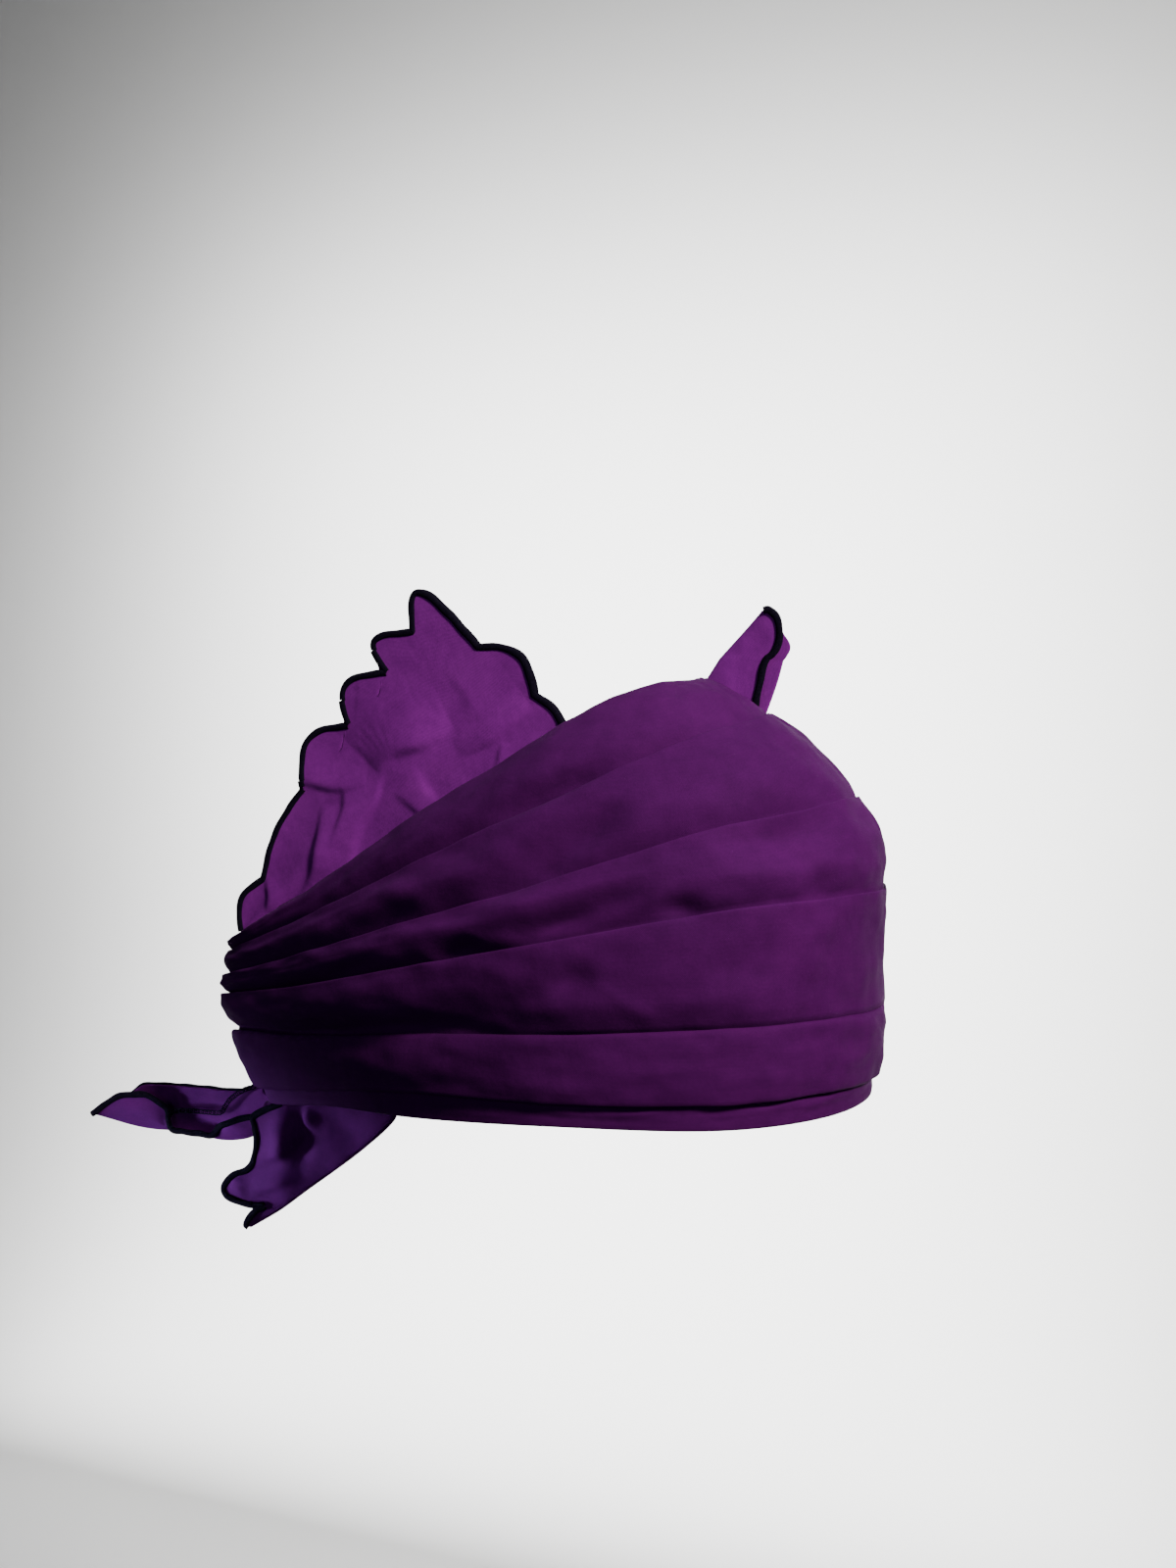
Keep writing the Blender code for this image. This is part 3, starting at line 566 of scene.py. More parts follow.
def crown_profile():
    """Knife pleats: each face swells out of its recess to a lip that rolls over and drops back."""
    place = stations()[1]
    step = column(place, "crisp")
    crisp = step / PLEAT_STEP
    spans = [fold_height(place, np.zeros(AROUND) + level + 0.999)
             - fold_height(place, np.zeros(AROUND) + level) for level in range(LEVELS)]
    rows = [(UNDER_BAND_TOP + 0.01, 0.0), (UNDER_BAND_TOP + 0.01, CLOTH), (1.75, CLOTH),
            (1.95, CLOTH)]
    for pleat in range(2, LEVELS):
        proud = np.clip((place - TOP_LIP_START) / TOP_LIP_FADE, 0.0, 1.0)
        proud = TOP_LIP * proud * (pleat == LEVELS - 1)
        grow = 1.0 + proud / np.maximum(spans[pleat], 0.004)
        drop = np.minimum(LIP_DROP * np.clip(crisp, 0.05, 1.0) / spans[pleat], 0.3)
        shallow = np.clip((SHALLOW_END - place) / SHALLOW_FADE, 0.0, 1.0)
        start = RECESS + (CLOTH - RECESS) * shallow
        if pleat == 2:
            shallow = np.clip((BAND_SHALLOW_END - place) / SHALLOW_FADE, 0.0, 1.0)
            start = RECESS + (BAND_SIDE - RECESS) * shallow
        depth = step + CLOTH - start
        crest = np.clip(CREST_RISE / np.maximum(spans[pleat], 0.001), *CREST_SHARES)
        for index in range(FACE_STEPS + 1):
            share = index / FACE_STEPS
            rise = np.sin(0.5 * math.pi * np.minimum(share / crest, 1.0))
            rise = rise - FACE_SAG * max(share - SAG_START, 0.0) / (1.0 - SAG_START)
            rows.append((pleat + (0.02 + 0.93 * share) * grow, start + depth * rise))
        lip = start + LIP_SHARE * depth
        back_out = lip - RECESS - (CLOTH - RECESS) * shallow
        rows.append((pleat + 0.965 * grow, lip))
        rows.append((pleat + 0.982 * grow, lip - 0.0001 * crisp))
        if pleat == LEVELS - 1:
            top = pleat + grow
            continue
        for climb, back in LIP_TURN:
            rows.append((pleat + climb, lip - back_out * back))
        for share, back in BEHIND_LIP:
            rows.append((pleat + 1.0 - share * drop, lip - back_out * back))
    for below, share in TOP_ROLL:
        rows.append((top - below, CLOTH + share * step))
    rows.append((0.5 * (top + LEVELS), CLOTH + 0.22 * step))
    rows.append((LEVELS + 0.0 * top, 0.5 * CLOTH + 0.1 * step))
    rows.append((LEVELS - 0.02, 0.0))
    for level in np.linspace(LEVELS - 0.1, UNDER_BAND_TOP + 0.1, INNER_ROWS):
        rows.append((level, 0.0))
    return profile_arrays(rows)


def band_profile():
    inner = CLOTH + BAND_GAP
    middle = inner + 0.5 * BAND_WALL
    outer = inner + BAND_WALL
    turns = [0.5 * math.pi * share for share in (0.25, 0.5, 0.75)]
    rounded = [(BAND_ROUND * (1.0 - math.cos(turn)), middle + 0.5 * BAND_WALL * math.sin(turn))
               for turn in turns]
    rows = [(1.0, middle)]
    rows.extend((1.0 + away, out) for away, out in rounded)
    for share in np.linspace(0.04, 0.96, BAND_ROWS):
        rows.append((1.0 + share, outer + BAND_BULGE * math.sin(math.pi * share) ** 0.6))
    rows.extend((2.0 - away, out) for away, out in reversed(rounded))
    rows.append((2.0, middle))
    for share in np.linspace(0.97, 0.03, BAND_INNER_ROWS):
        rows.append((1.0 + share, inner))
    return profile_arrays(rows)


def under_band_profile():
    rows = [(0.0, 0.5 * CLOTH), (0.02, 0.8 * CLOTH)]
    for level in np.linspace(0.06, UNDER_BAND_TOP, BAND_ROWS):
        rows.append((level, CLOTH))
    for level in np.linspace(UNDER_BAND_TOP, 0.06, BAND_INNER_ROWS):
        rows.append((level, 0.0))
    rows.append((0.02, 0.2 * CLOTH))
    return profile_arrays(rows)


def cover_lines():
    """Ribs of the cover from under the top fold to the middle line, near side."""
    place = np.linspace(0.0, LAST, AROUND // 2 + 1)
    ribs = [skin(place, level + 0.0 * place) - GAP * outward(place, level + 0.0 * place)
            for level in COVER_HEM]
    sink = -GAP * outward(place, COVER_TURN + 0.0 * place)
    start = skin(place, COVER_EDGE + 0.0 * place) + sink
    end = np.stack([column(place, "mid_along"), 0.0 * place, column(place, "mid_up")], axis=-1)
    leave = unit(start - skin(place, COVER_UNDER + 0.0 * place) - sink)
    level_run = (end - start) * [1.0, 1.0, 0.0]
    length = np.linalg.norm(end - start, axis=-1, keepdims=True)
    arrive = unit(level_run) * length * COVER_ARRIVE
    leave = leave * length * COVER_LEAVE
    for t in np.linspace(0.0, 1.0, COVER_ROWS):
        far = 3.0 * t ** 2 - 2.0 * t ** 3
        ribs.append(start * (1.0 - far) + end * far + leave * (t ** 3 - 2.0 * t ** 2 + t)
                    + arrive * (t ** 3 - t ** 2))
    return np.stack(ribs, axis=1)


def crown_cover():
    near = cover_lines()
    count, rows = near.shape[:2]
    points = []
    faces = []
    keys = {}

    def vertex(spot):
        key = tuple(np.round(spot, 6))
        if key not in keys:
            keys[key] = len(points)
            points.append(spot)
        return keys[key]

    for sign in (1.0, -1.0):
        ids = [[vertex(near[i, j] * [1.0, sign, 1.0]) for j in range(rows)] for i in range(count)]
        for i in range(count - 1):
            for j in range(rows - 1):
                loop = (ids[i][j], ids[i][j + 1], ids[i + 1][j + 1], ids[i + 1][j])
                distinct = list(dict.fromkeys(loop))
                if len(distinct) > 2:
                    faces.append(distinct)
    spots = np.array(points)
    relief = COVER_WAVE.out * noise_at(spots, COVER_WAVE.size, COVER_WAVE.seed)
    spots[:, 2] += relief * (np.abs(spots[:, 1]) > SEAM_STILL)
    thing = make_mesh("crown_cover_cloth", spots, faces, spots * [1.0, 1.0, 0.0])
    solid = thing.modifiers.new("wall", "SOLIDIFY")
    solid.thickness = CLOTH
    solid.offset = -1.0
    return thing


def smooth_line(points, count):
    """A smooth curve through a few points, sampled evenly in their order."""
    spots = np.array(points, dtype=float)
    padded = np.concatenate(([2 * spots[0] - spots[1]], spots, [2 * spots[-1] - spots[-2]]))
    place = np.linspace(0.0, len(spots) - 1.0, count)
    index = np.clip(place.astype(int), 0, len(spots) - 2)
    t = (place - index)[:, None]
    return blend(*(padded[index + shift] for shift in range(4)), t)


def run_lengths(points, axis=0):
    """Distance from the first to each point of a path, or along one axis of a grid."""
    steps = np.linalg.norm(np.diff(points, axis=axis), axis=-1)
    return np.concatenate([0.0 * np.take(points[..., 0], [0], axis), np.cumsum(steps, axis)], axis)


def read_off(values, lengths, places):
    """Rows of values at places along a path, given the lengths at which they are known."""
    return np.stack([np.interp(places, lengths, column_of) for column_of in values.T], axis=-1)


def fan_edge(grow):
    """The fan's scalloped edge through its cusps; each lobe bulges out from its chord."""
    corners = np.array([[cusp.along * FAN_LENGTH, cusp.up * FAN_HEIGHT] for cusp in FAN_CUSPS])
    points = []
    for cusp, here, after in zip(FAN_CUSPS, corners, corners[1:]):
        chord = after - here
        out = np.array([chord[1], -chord[0]])
        for step in range(LOBE_STEPS):
            t = step / LOBE_STEPS
            hump = math.sin(math.pi * t)
            points.append(here + chord * (t + cusp.skew * hump) + out * cusp.bulge * grow * hump)
    points.append(corners[-1])
    return np.array(points) + [FAN_START, FAN_LIFT]


def nearest_on(path, spots):
    """Distance from each spot to a path, which side of it, and a fade toward the path's ends."""
    best = np.full(spots.shape[:-1], 1e9)
    side = np.zeros(spots.shape[:-1])
    taper = np.zeros(spots.shape[:-1])
    count = len(path) - 1
    for index in range(count):
        run = path[index + 1] - path[index]
        length = np.linalg.norm(run)
        rel = spots - path[index]
        along = np.clip((rel @ run) / length ** 2, 0.0, 1.0)
        far = np.linalg.norm(rel - along[..., None] * run, axis=-1)
        cross = run[0] * rel[..., 1] - run[1] * rel[..., 0]
        closer = far < best
        best = np.where(closer, far, best)
        side = np.where(closer, np.sign(cross), side)
        taper = np.where(closer, np.sin(math.pi * (index + along) / count), taper)
    return best, side, np.clip(taper, 0.0, 1.0)


def crease_relief(spots, crease, scale, start):
    """A fold step along a line of points: it jumps up on one side and fades away."""
    path = smooth_line(crease.path, 5 * len(crease.path)) * scale + start
    away, side, taper = nearest_on(path, spots)
    jump = 1.0 / (1.0 + np.exp(-np.clip(away * side / crease.sharp, -40.0, 40.0)))
    return crease.depth * taper * jump * np.exp(-(away / crease.wide) ** 2)


def fan_side(spots):
    """Sideways relief of the fan, for x and z pairs."""
    dx = spots[..., 0] - FAN_START
    dz = spots[..., 1] - FAN_LIFT
    distance = np.hypot(dx, dz)
    direction = np.arctan2(dz, dx) / (2.0 * math.pi)
    depth = sum(share * np.exp(-((direction - turn) / width) ** 2)
                for turn, width, share in FAN_FOLDS)
    ramp = np.minimum(distance / FAN_LENGTH, 1.0)
    return FAN_RELIEF * depth * np.sin(math.pi * ramp)


def sheet_object(name, grid, thickness):
    cloth = cloth_coordinates(grid, False)
    faces = grid_faces(grid.shape[0], grid.shape[1], False, False)
    thing = make_mesh(name, grid.reshape(-1, 3), faces, cloth.reshape(-1, 3))
    solid = thing.modifiers.new("wall", "SOLIDIFY")
    solid.thickness = thickness
    solid.offset = 0.0
    return thing


def cover_line():
    place = np.linspace(0.0, LAST, 200)
    return column(place, "mid_along")[::-1], column(place, "mid_up")[::-1]


def blurred(line, width):
    """A line averaged over its neighbours, with its ends kept."""
    kernel = np.ones(2 * width + 1) / (2 * width + 1)
    padded = np.pad(line, ((width, width), (0, 0)), mode="reflect", reflect_type="odd")
    return np.stack([np.convolve(padded[:, axis], kernel, "valid") for axis in range(2)], axis=-1)


def fan_grid(grow, side):
    """Rows from the foot of a fan leaf to its scalloped edge."""
    edge = fan_edge(grow)
    foot_x = np.linspace(FAN_FRONT_FOOT, FAN_REAR_FOOT, len(edge))
    foot = np.stack([foot_x, np.interp(foot_x, *cover_line()) + GAP], axis=-1)
    inner = foot + (blurred(edge, 2 * LOBE_STEPS) - foot) * INNER_SHARE
    up = np.linspace(0.0, 1.0, FAN_ROWS)[:, None, None]
    low = np.minimum(up / INNER_SHARE, 1.0)
    high = np.maximum((up - INNER_SHARE) / (1.0 - INNER_SHARE), 0.0)
    spots = (foot * (1.0 - low) + inner * low) * (1.0 - high) + edge * high
    free = np.minimum(FOOT_FREES * up[..., 0], 1.0)
    relief = fan_side(spots) * free
    for crease in FAN_CREASES:
        step = crease_relief(spots, crease, [FAN_LENGTH, FAN_HEIGHT], [FAN_START, FAN_LIFT])
        relief = relief - step * np.minimum(CREASE_FREES * up[..., 0], 1.0)
    apart = 0.5 * (FAN_SHEET + GAP) + LEAF_SPREAD * up[..., 0]
    flat = np.stack([spots[..., 0], 0.0 * relief, spots[..., 1]], axis=-1)
    relief = relief + FAN_FINE.out * noise_at(flat, FAN_FINE.size, FAN_FINE.seed)
    broad = noise_at(flat, FAN_BROAD.size, FAN_BROAD.seed)
    relief = relief + FAN_BROAD.out * broad * free
    return np.stack([spots[..., 0], relief + side * apart, spots[..., 1]], axis=-1)


def capped_faces(rows, columns):
    """Faces of a tube of rings, with one face over each end."""
    faces = grid_faces(rows, columns, False, True)
    faces.append(tuple(range(columns)))
    faces.append(tuple(range((rows - 1) * columns, rows * columns)))
    return faces


def edging_object(name, path, inside, facing):
    """Overcast thread along an edge: a rounded strip with slanting stitches over it."""
    lengths = run_lengths(path)
    count = max(int(lengths[-1] / (STITCH_PITCH / 4.0)), 8)
    places = np.linspace(0.0, lengths[-1], count)
    line = read_off(path, lengths, places)
    body = read_off(inside, lengths, places)
    run = unit(np.gradient(line, axis=0))
    face = np.array([0.0, facing, 0.0])
    square = np.cross(face, run)
    toward = body - line
    square = unit(square) * np.where((square * toward).sum(-1) > 0.0, 1.0, -1.0)[:, None]
    kernel = np.ones(9) / 9.0
    square = unit(np.stack([np.convolve(np.pad(square[:, axis], 4, mode="edge"), kernel, "valid")
                            for axis in range(3)], axis=-1))
    rings = []
    for index in range(THREAD_SIDES):
        angle = 2.0 * math.pi * index / THREAD_SIDES
        slant = places / STITCH_PITCH + STITCH_SLANT * math.cos(angle)
        ridge = STITCH_DEPTH * np.abs(np.sin(math.pi * slant))
        across = 0.5 * EDGING_WIDTH * math.cos(angle)
        high = 0.5 * EDGING_THICKNESS * math.sin(angle) * EDGING_ROUND
        ripple = 1.0 + RIPPLE_SHARE * np.sin(places / RIPPLE_LENGTH + index * 0.4)
        out = across + math.copysign(1.0, across) * ridge * abs(math.cos(angle))
        rings.append(line + square * (EDGING_SHIFT * EDGING_WIDTH + out * ripple)[:, None]
                     + face * (EDGING_LIFT + high + ridge * math.sin(angle))[:, None])
    grid = np.stack(rings, axis=1)
    cloth = cloth_coordinates(np.swapaxes(grid, 0, 1), False)
    faces = capped_faces(grid.shape[0], THREAD_SIDES)
    return make_mesh(name, grid.reshape(-1, 3), faces, np.swapaxes(cloth, 0, 1).reshape(-1, 3))


def chain_object(name, path, side):
    """A crocheted chain: small flat loops, each starting inside the one before."""
    lengths = run_lengths(path)
    count = int(lengths[-1] / CHAIN_PITCH)
    places = (np.arange(count) + 0.5) * CHAIN_PITCH
    middle = read_off(path, lengths, places)
    run = unit(read_off(np.gradient(path, axis=0), lengths, places))
    points = []
    faces = []
    for index in range(count):
        along = np.array([run[index, 0], 0.0, run[index, 1]])
        across = np.array([-run[index, 1], 0.0, run[index, 0]])
        base = np.array([middle[index, 0], side - CHAIN_OUT, middle[index, 1]])
        grid = np.zeros((LOOP_STEPS, LOOP_SIDES, 3))
        for turn in range(LOOP_STEPS):
            angle = 2.0 * math.pi * turn / LOOP_STEPS
            away = along * math.cos(angle) * LOOP_LENGTH * CHAIN_PITCH
            away = away + across * math.sin(angle) * LOOP_WIDTH * CHAIN_PITCH
            tilt = np.array([0.0, LOOP_TILT * math.cos(angle), 0.0])
            direction = unit(away)
            for step in range(LOOP_SIDES):
                spin = 2.0 * math.pi * step / LOOP_SIDES
                grid[turn, step] = (base + away + tilt
                                    + direction * CHAIN_THREAD * math.cos(spin)
                                    + np.array([0.0, CHAIN_THREAD * math.sin(spin), 0.0]))
        start = len(points)
        points.extend(grid.reshape(-1, 3))
        faces.extend(tuple(start + corner for corner in face)
                     for face in grid_faces(LOOP_STEPS, LOOP_SIDES, True, True))
    return make_mesh(name, points, faces)


def folded_grid(outlines, sampler, steps, side, roll, spread, relief):
    """Rows across a folded leaf: near edge, round the fold, far edge."""
    near, fold, far = (sampler(line, steps) for line in outlines)
    lines = []
    for index in range(-LEAF_ROWS, LEAF_ROWS + 1):
        share = abs(index) / LEAF_ROWS
        spot = fold * (1.0 - share) + (near if index < 0 else far) * share
        out = (roll + spread * share) * math.sqrt(1.0 - (1.0 - share) ** 6)
        y = side + math.copysign(out, index) + relief(spot)
        lines.append(np.stack([spot[:, 0], y, spot[:, 1]], axis=-1))
    return np.stack(lines)


def by_length(points, count):
    """Even steps along a smooth curve through points given in thousandths of a metre."""
    line = smooth_line(points, 12 * len(points)) / 1000.0
    lengths = run_lengths(line)
    places = np.linspace(0.0, lengths[-1], count)
    return read_off(line, lengths, places)


def by_reach(points, count):
    """Steps of equal length along x, for an outline that never turns back."""
    line = smooth_line(points, 12 * len(points)) / 1000.0
    places = np.linspace(line[0, 0], line[-1, 0], count)
    return np.stack([places, np.interp(-places, -line[:, 0], line[:, 1])], axis=-1)


def leaf_relief(creases, swells, seed):
    def relief(spots):
        height = -sum(crease_relief(spots, crease, 0.001, 0.0) for crease in creases)
        for swell in swells:
            away = ((1000.0 * spots[:, 0] - swell.along) / swell.wide) ** 2
            away = away + ((1000.0 * spots[:, 1] - swell.up) / swell.high) ** 2
            height = height - 0.001 * swell.out * np.exp(-away)
        flat = np.stack([spots[:, 0], 0.0 * spots[:, 0], spots[:, 1]], axis=-1)
        return height + 0.0005 * noise_at(flat, (0.011, 1.0, 0.011), seed)
    return relief


def search_tree(things):
    bpy.context.view_layer.update()
    graph = bpy.context.evaluated_depsgraph_get()
    points = []
    faces = []
    for thing in things:
        mesh = thing.evaluated_get(graph).to_mesh()
        base = len(points)
        points.extend(vertex.co.copy() for vertex in mesh.vertices)
        faces.extend([base + index for index in face.vertices] for face in mesh.polygons)
        thing.evaluated_get(graph).to_mesh_clear()
    return BVHTree.FromPolygons(points, faces)


def top_corner_grid(tree):
    grid = folded_grid((CORNER_NEAR, CORNER_FOLD, CORNER_FAR), by_length, CORNER_STEPS,
                       CORNER_SIDE, CORNER_ROLL, CORNER_SPREAD, leaf_relief((), (), 2.0))
    fade = np.clip(1.0 - np.arange(CORNER_STEPS) / CORNER_FADE, 0.0, 1.0)
    for row in grid:
        above = Vector((row[0, 0], row[0, 1], 2.0 * CROWN_HEIGHT))
        hit = tree.ray_cast(above, Vector((0.0, 0.0, -1.0)))
        row[:, 2] += (hit[0].z + GAP + 0.5 * TIE_SHEET - row[0, 2]) * fade
    return grid


def knot_object():
    """The wrapped lump at the nape: a belt of cloth round gathered cloth."""
    up = np.linspace(KNOT_HOLE, math.pi - KNOT_HOLE, KNOT_ROWS)[:, None]
    turn = np.linspace(0.0, 2.0 * math.pi, KNOT_COLUMNS, endpoint=False)[None]
    ball = np.stack([np.sin(up) * np.cos(turn), np.sin(up) * np.sin(turn),
                     np.cos(up) + 0.0 * turn], axis=-1)
    slant = 0.5 * ball[..., 0] + 0.25 * ball[..., 2]
    belt = np.exp(-(slant / KNOT_BELT) ** 6)
    groove = np.exp(-((np.abs(slant) - KNOT_GROOVE) / KNOT_GROOVE_WIDTH) ** 2)
    gathers = np.sin(9.0 * np.arctan2(ball[..., 1], ball[..., 2]) + 2.0 * ball[..., 0])
    pulls = np.sin(26.0 * slant + 1.2 * ball[..., 1])
    size = 0.94 + 0.05 * belt - 0.10 * groove + 0.030 * gathers * (1.0 - belt) + 0.02 * pulls * belt
    size = size + 0.03 * noise_at(ball, (0.5, 0.5, 0.5), 4.0)
    spots = ball * size[..., None] * [0.5 * KNOT_LENGTH, 0.5 * KNOT_WIDTH, 0.5 * KNOT_HEIGHT]
    spots = spots + KNOT_CENTRE
    faces = capped_faces(KNOT_ROWS, KNOT_COLUMNS)
    cloth = cloth_coordinates(spots, False)
    return make_mesh("knot_cloth", spots.reshape(-1, 3), faces, cloth.reshape(-1, 3))


def node(tree, kind, **values):
    made = tree.nodes.new(kind)
    for name, value in values.items():
        setattr(made, name, value)
    return made


def math_node(tree, kind, first, second):
    made = node(tree, "ShaderNodeMath", operation=kind)
    for index, value in enumerate((first, second)):
        if isinstance(value, (int, float)):
            made.inputs[index].default_value = value
        else:
            tree.links.new(value, made.inputs[index])
    return made.outputs[0]


def noise_node(tree, source, scale, detail, rough=0.5):
    made = node(tree, "ShaderNodeTexNoise")
    made.inputs["Scale"].default_value = scale
    made.inputs["Detail"].default_value = detail
    made.inputs["Roughness"].default_value = rough
    tree.links.new(source, made.inputs["Vector"])
    return made.outputs["Fac"]


def ramp_node(tree, source, stops):
    made = node(tree, "ShaderNodeValToRGB")
    ramp = made.color_ramp
    while len(ramp.elements) < len(stops):
        ramp.elements.new(0.5)
    for element, (place, color) in zip(ramp.elements, stops):
        element.position = place
        element.color = color
    tree.links.new(source, made.inputs["Fac"])
    return made.outputs["Color"]


def bump_node(tree, height, strength, distance):
    made = node(tree, "ShaderNodeBump")
    made.inputs["Strength"].default_value = strength
    made.inputs["Distance"].default_value = distance
    tree.links.new(height, made.inputs["Height"])
    return made


def threads(tree, coordinate):
    """A wave along one cloth direction, one swell per thread."""
    turned = math_node(tree, "MULTIPLY", coordinate, 2.0 * math.pi / WEAVE_PITCH)
    return math_node(tree, "SINE", turned, 0.0)


def weighted(tree, parts):
    """The sum of a few values, each with its share."""
    total = None
    for source, share in parts:
        part = math_node(tree, "MULTIPLY", source, share)
        total = part if total is None else math_node(tree, "ADD", total, part)
    return total


def new_material(name, settings):
    """A material, its node tree and its shader, with the settings given by socket name."""
    material = bpy.data.materials.new(name)
    material.use_nodes = True
    shader = material.node_tree.nodes["Principled BSDF"]
    for label, value in settings.items():
        shader.inputs[label].default_value = value
    return material, material.node_tree, shader


def purple_material(name, lift):
    material, tree, shader = new_material(name, {
        "Roughness": 0.78, "Sheen Weight": 0.012, "Sheen Roughness": 0.5,
        "Sheen Tint": (0.62, 0.52, 0.95, 1.0), "Specular IOR Level": 0.06})
    place = node(tree, "ShaderNodeAttribute", attribute_name="cloth")
    spot = place.outputs["Vector"]
    apart = node(tree, "ShaderNodeSeparateXYZ")
    tree.links.new(spot, apart.inputs[0])
    here = node(tree, "ShaderNodeTexCoord").outputs["Object"]
    warp = threads(tree, apart.outputs["X"])
    weft = threads(tree, apart.outputs["Y"])
    weave = math_node(tree, "MULTIPLY", warp, weft)
    grain = noise_node(tree, spot, 1400.0, 2.0)
    slubs = node(tree, "ShaderNodeMapping")
    slubs.inputs["Scale"].default_value = (60.0, 900.0, 1.0)
    tree.links.new(spot, slubs.inputs["Vector"])
    streaks = noise_node(tree, slubs.outputs[0], 1.0, 3.0, 0.6)
    patches = noise_node(tree, here, 22.0, 4.0, 0.6)
    mottle = noise_node(tree, here, 160.0, 5.0, 0.65)
    shade = weighted(tree, ((patches, 0.40), (mottle, 0.26), (streaks, 0.12), (weave, 0.08),
                            (grain, 0.22)))
    # A lift above 1 makes a lighter copy of the cloth colour: painted light
    tones = [(place_at, (lift * tone[0], lift ** GREEN_POWER * tone[1], lift * tone[2], 1.0))
             for place_at, tone in PURPLE_TONES]
    color = ramp_node(tree, shade, tones)
    tree.links.new(color, shader.inputs["Base Color"])
    high = weighted(tree, ((weave, 0.35), (grain, 0.5), (streaks, 0.35)))
    fine = bump_node(tree, high, 0.35, 0.00025)
    soft = bump_node(tree, noise_node(tree, here, 120.0, 4.0, 0.55), 0.35, 0.0010)
    tree.links.new(soft.outputs[0], fine.inputs["Normal"])
    tree.links.new(fine.outputs[0], shader.inputs["Normal"])
    return material


def black_material():
    material, tree, shader = new_material(
        "black_edging_thread", {"Roughness": 0.95, "Specular IOR Level": 0.04})
    here = node(tree, "ShaderNodeTexCoord").outputs["Object"]
    tufts = noise_node(tree, here, 1600.0, 3.0, 0.6)
    color = ramp_node(tree, tufts, ((0.3, (0.003, 0.002, 0.006, 1.0)),
                                    (0.75, (0.012, 0.008, 0.022, 1.0))))
    tree.links.new(color, shader.inputs["Base Color"])
    bump = bump_node(tree, tufts, 0.6, 0.0002)
    tree.links.new(bump.outputs[0], shader.inputs["Normal"])
    return material


PURPLE = purple_material("purple_cotton_weave", 1.0)
# Lighter copy of the cloth with painted light, for the fan leaves and the top corner
LEAF_PURPLE_PAINTED_LIGHT = purple_material("purple_cotton_leaf_painted_light", LEAF_PAINTED_LIGHT_LIFT)
# Lighter copy of the cloth with painted light, for the tie ends
TIE_PURPLE_PAINTED_LIGHT = purple_material("purple_cotton_tie_painted_light", TIE_PAINTED_LIGHT_LIFT)
BLACK = black_material()


def dress(thing, material, slot, *nodes):
    thing.data.materials.clear()
    thing.data.materials.append(material)
    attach(thing, "root")
    if nodes:
        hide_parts(*nodes)
    return thing


def build_cloth():
    under = purple(ring_object("under_band_cloth", *under_band_profile()), "under_band")
    brow = purple(ring_object("brow_band_cloth", *band_profile()), "brow_band")
    wall = purple(ring_object("crown_cloth", *crown_profile()), "crown")
    cover = purple(crown_cover(), "crown_cover")
    near_grid = fan_grid(1.0, -1.0)
    far_grid = fan_grid(FAR_FAN_GROWTH, 1.0)
    near = purple_leaf("fan_near_cloth", near_grid, FAN_SHEET, "fan_near_leaf")
    far = purple_leaf("fan_far_cloth", far_grid, FAN_SHEET, "fan_far_leaf")
    near_edge = black_border("fan_near_stitching", near_grid[-1], near_grid[-3], -1.0,
                             "fan_near_edging")
    far_edge = black_border("fan_far_stitching", far_grid[-1], far_grid[-3], 1.0,
                            "fan_far_edging")
    top = search_tree([wall, cover])
    grid = top_corner_grid(top)
    corner = purple_leaf("top_corner_cloth", grid, TIE_SHEET, "top_corner")
    corner_edge = black_border("top_corner_stitching", grid[0], grid[2], -1.0,
                               "top_corner_edging")
    purple(knot_object(), "knot")
    grid = folded_grid((UPPER_NEAR, UPPER_FOLD, UPPER_FAR), by_reach, UPPER_TIE_STEPS,
                       UPPER_SIDE, TIE_ROLL, TIE_ROLL,
                       leaf_relief(UPPER_CREASES, UPPER_SWELLS, 6.0))
    upper = purple_leaf("upper_tie_cloth", grid, TIE_SHEET, "upper_tie", TIE_PURPLE_PAINTED_LIGHT)
    upper_edge = black_border("upper_tie_stitching", grid[0], grid[3], -1.0,
                              "upper_tie_edging")
    loops = by_length(UPPER_CHAIN, LOWER_TIE_STEPS)
    chain = chain_object("upper_tie_chain", loops, UPPER_SIDE)
    dress(chain, BLACK, "black_edging")
    upper_far = black_border("upper_tie_far_stitching", grid[-1], grid[-3], 1.0,
                             "upper_tie_far_edging")
    grid = folded_grid((LOWER_NEAR, LOWER_FOLD, LOWER_FAR), by_length, LOWER_TIE_STEPS,
                       LOWER_SIDE, TIE_ROLL, TIE_ROLL,
                       leaf_relief(LOWER_CREASES, LOWER_SWELLS, 8.0))
    lower = purple_leaf("lower_tie_cloth", grid, TIE_SHEET, "lower_tie", TIE_PURPLE_PAINTED_LIGHT)
    lower_edge = black_border("lower_tie_stitching", grid[0], grid[3], -1.0,
                              "lower_tie_edging")


def purple(thing, replaced, material=PURPLE):
    return dress(thing, material, "purple_cotton", replaced)


def purple_leaf(name, grid, thickness, replaced, material=LEAF_PURPLE_PAINTED_LIGHT):
    return purple(sheet_object(name, grid, thickness), replaced, material)


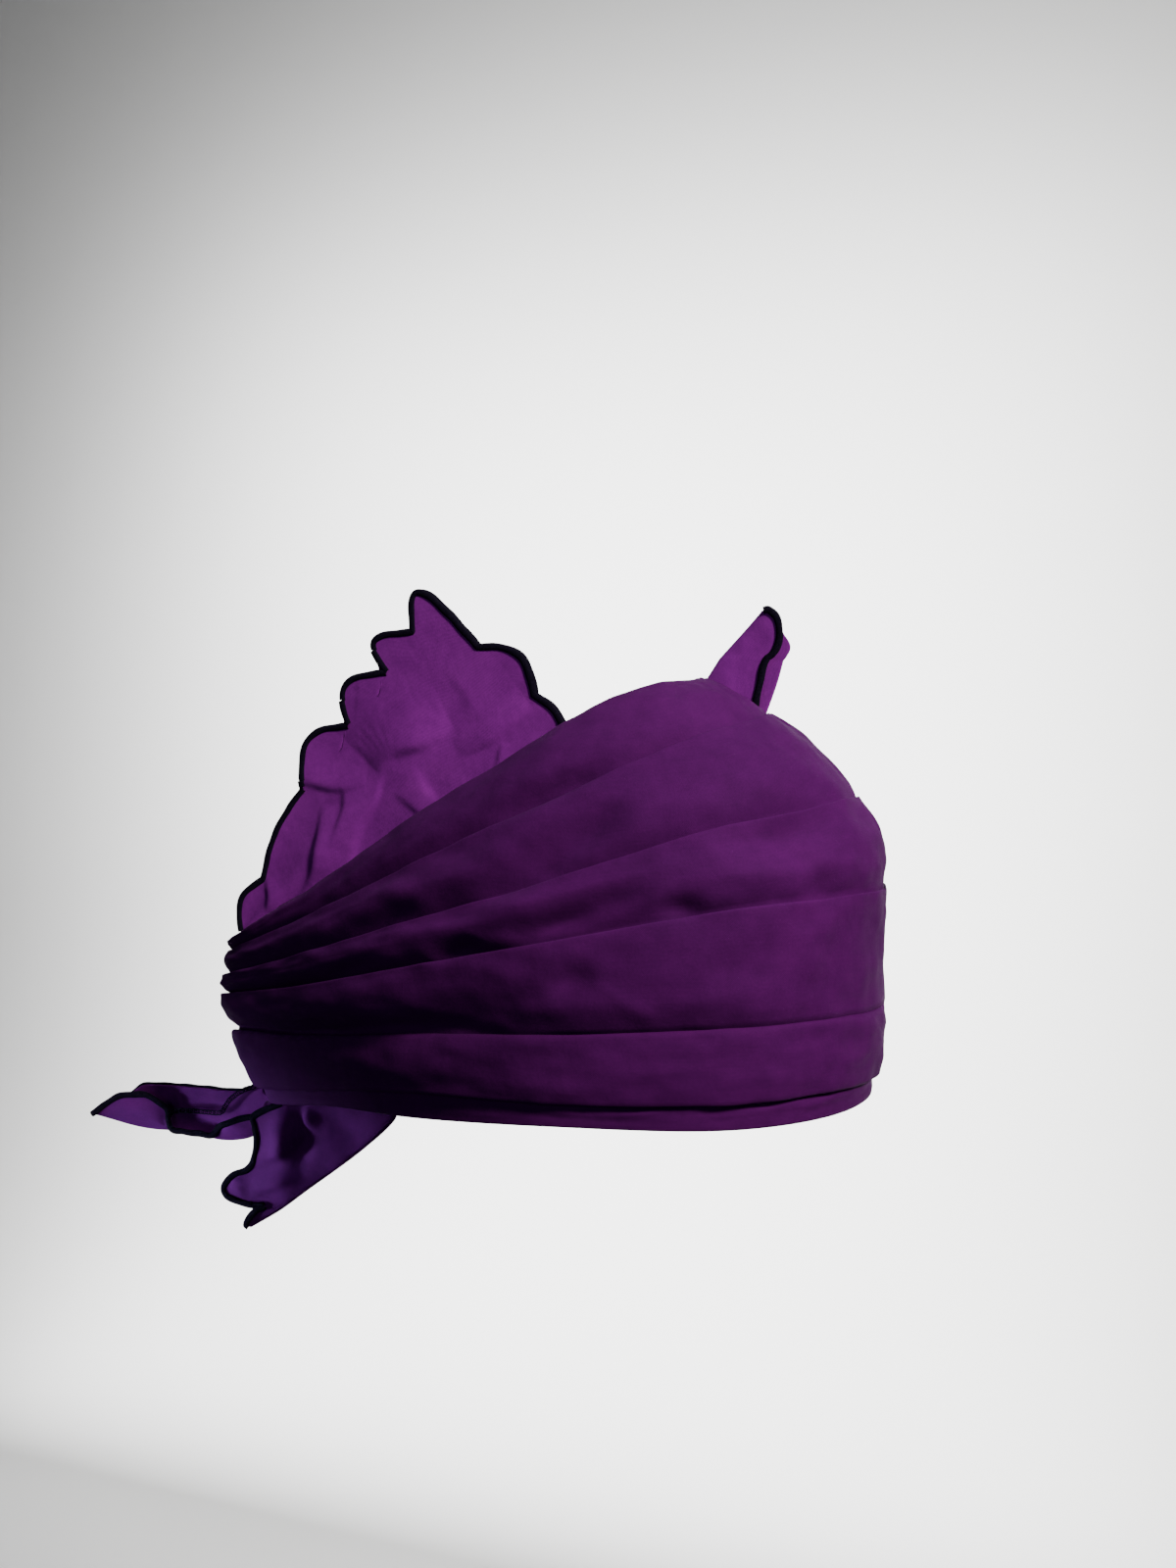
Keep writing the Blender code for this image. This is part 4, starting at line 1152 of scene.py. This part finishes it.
def black_border(name, path, inside, facing, replaced):
    return dress(edging_object(name, path, inside, facing), BLACK, "black_edging", replaced)


def add_camera():
    data = bpy.data.cameras.new("photo_camera")
    data.lens = CAMERA_LENS
    data.sensor_width = SENSOR
    data.sensor_fit = "AUTO"
    camera = bpy.data.objects.new("photo_camera", data)
    camera.location = CAMERA_PLACE
    camera.rotation_euler = (math.radians(90.0), 0.0, math.radians(CAMERA_TURN))
    bpy.context.scene.collection.objects.link(camera)
    bpy.context.scene.camera = camera


def add_light(lamp):
    data = bpy.data.lights.new(lamp.name, "AREA")
    data.size = lamp.size
    data.energy = lamp.power
    data.color = lamp.tint
    data.spread = math.radians(lamp.spread)
    light = bpy.data.objects.new(lamp.name, data)
    light.location = lamp.place
    way = Vector(lamp.aim) - Vector(lamp.place)
    light.rotation_euler = way.to_track_quat("-Z", "Y").to_euler()
    bpy.context.scene.collection.objects.link(light)


def add_stage():
    profile = [(FLOOR_FRONT, FLOOR_HEIGHT), (SWEEP_START, FLOOR_HEIGHT)]
    for index in range(1, SWEEP_STEPS + 1):
        turn = 0.5 * math.pi * index / SWEEP_STEPS
        profile.append((SWEEP_START + SWEEP_BEND * math.sin(turn),
                        FLOOR_HEIGHT + SWEEP_BEND * (1.0 - math.cos(turn))))
    profile.append((SWEEP_START + SWEEP_BEND, BACKDROP_TOP))
    points = [(x, y, z) for y, z in profile for x in (-FLOOR_SIDE, FLOOR_SIDE)]
    faces = [(2 * i, 2 * i + 1, 2 * i + 3, 2 * i + 2) for i in range(len(profile) - 1)]
    floor = make_mesh("floor", points, faces)
    paint = new_material("floor_paint", {
        "Base Color": (0.95, 0.95, 0.95, 1.0), "Roughness": 1.0, "Specular IOR Level": 0.0})
    floor.data.materials.append(paint[0])
    world = bpy.data.worlds.new("studio")
    world.use_nodes = True
    air = world.node_tree.nodes["Background"]
    air.inputs["Color"].default_value = COOL + (1.0,)
    air.inputs["Strength"].default_value = WORLD_POWER
    bpy.context.scene.world = world
    for lamp in LAMPS:
        add_light(lamp)


add_camera()
add_stage()
build_cloth()
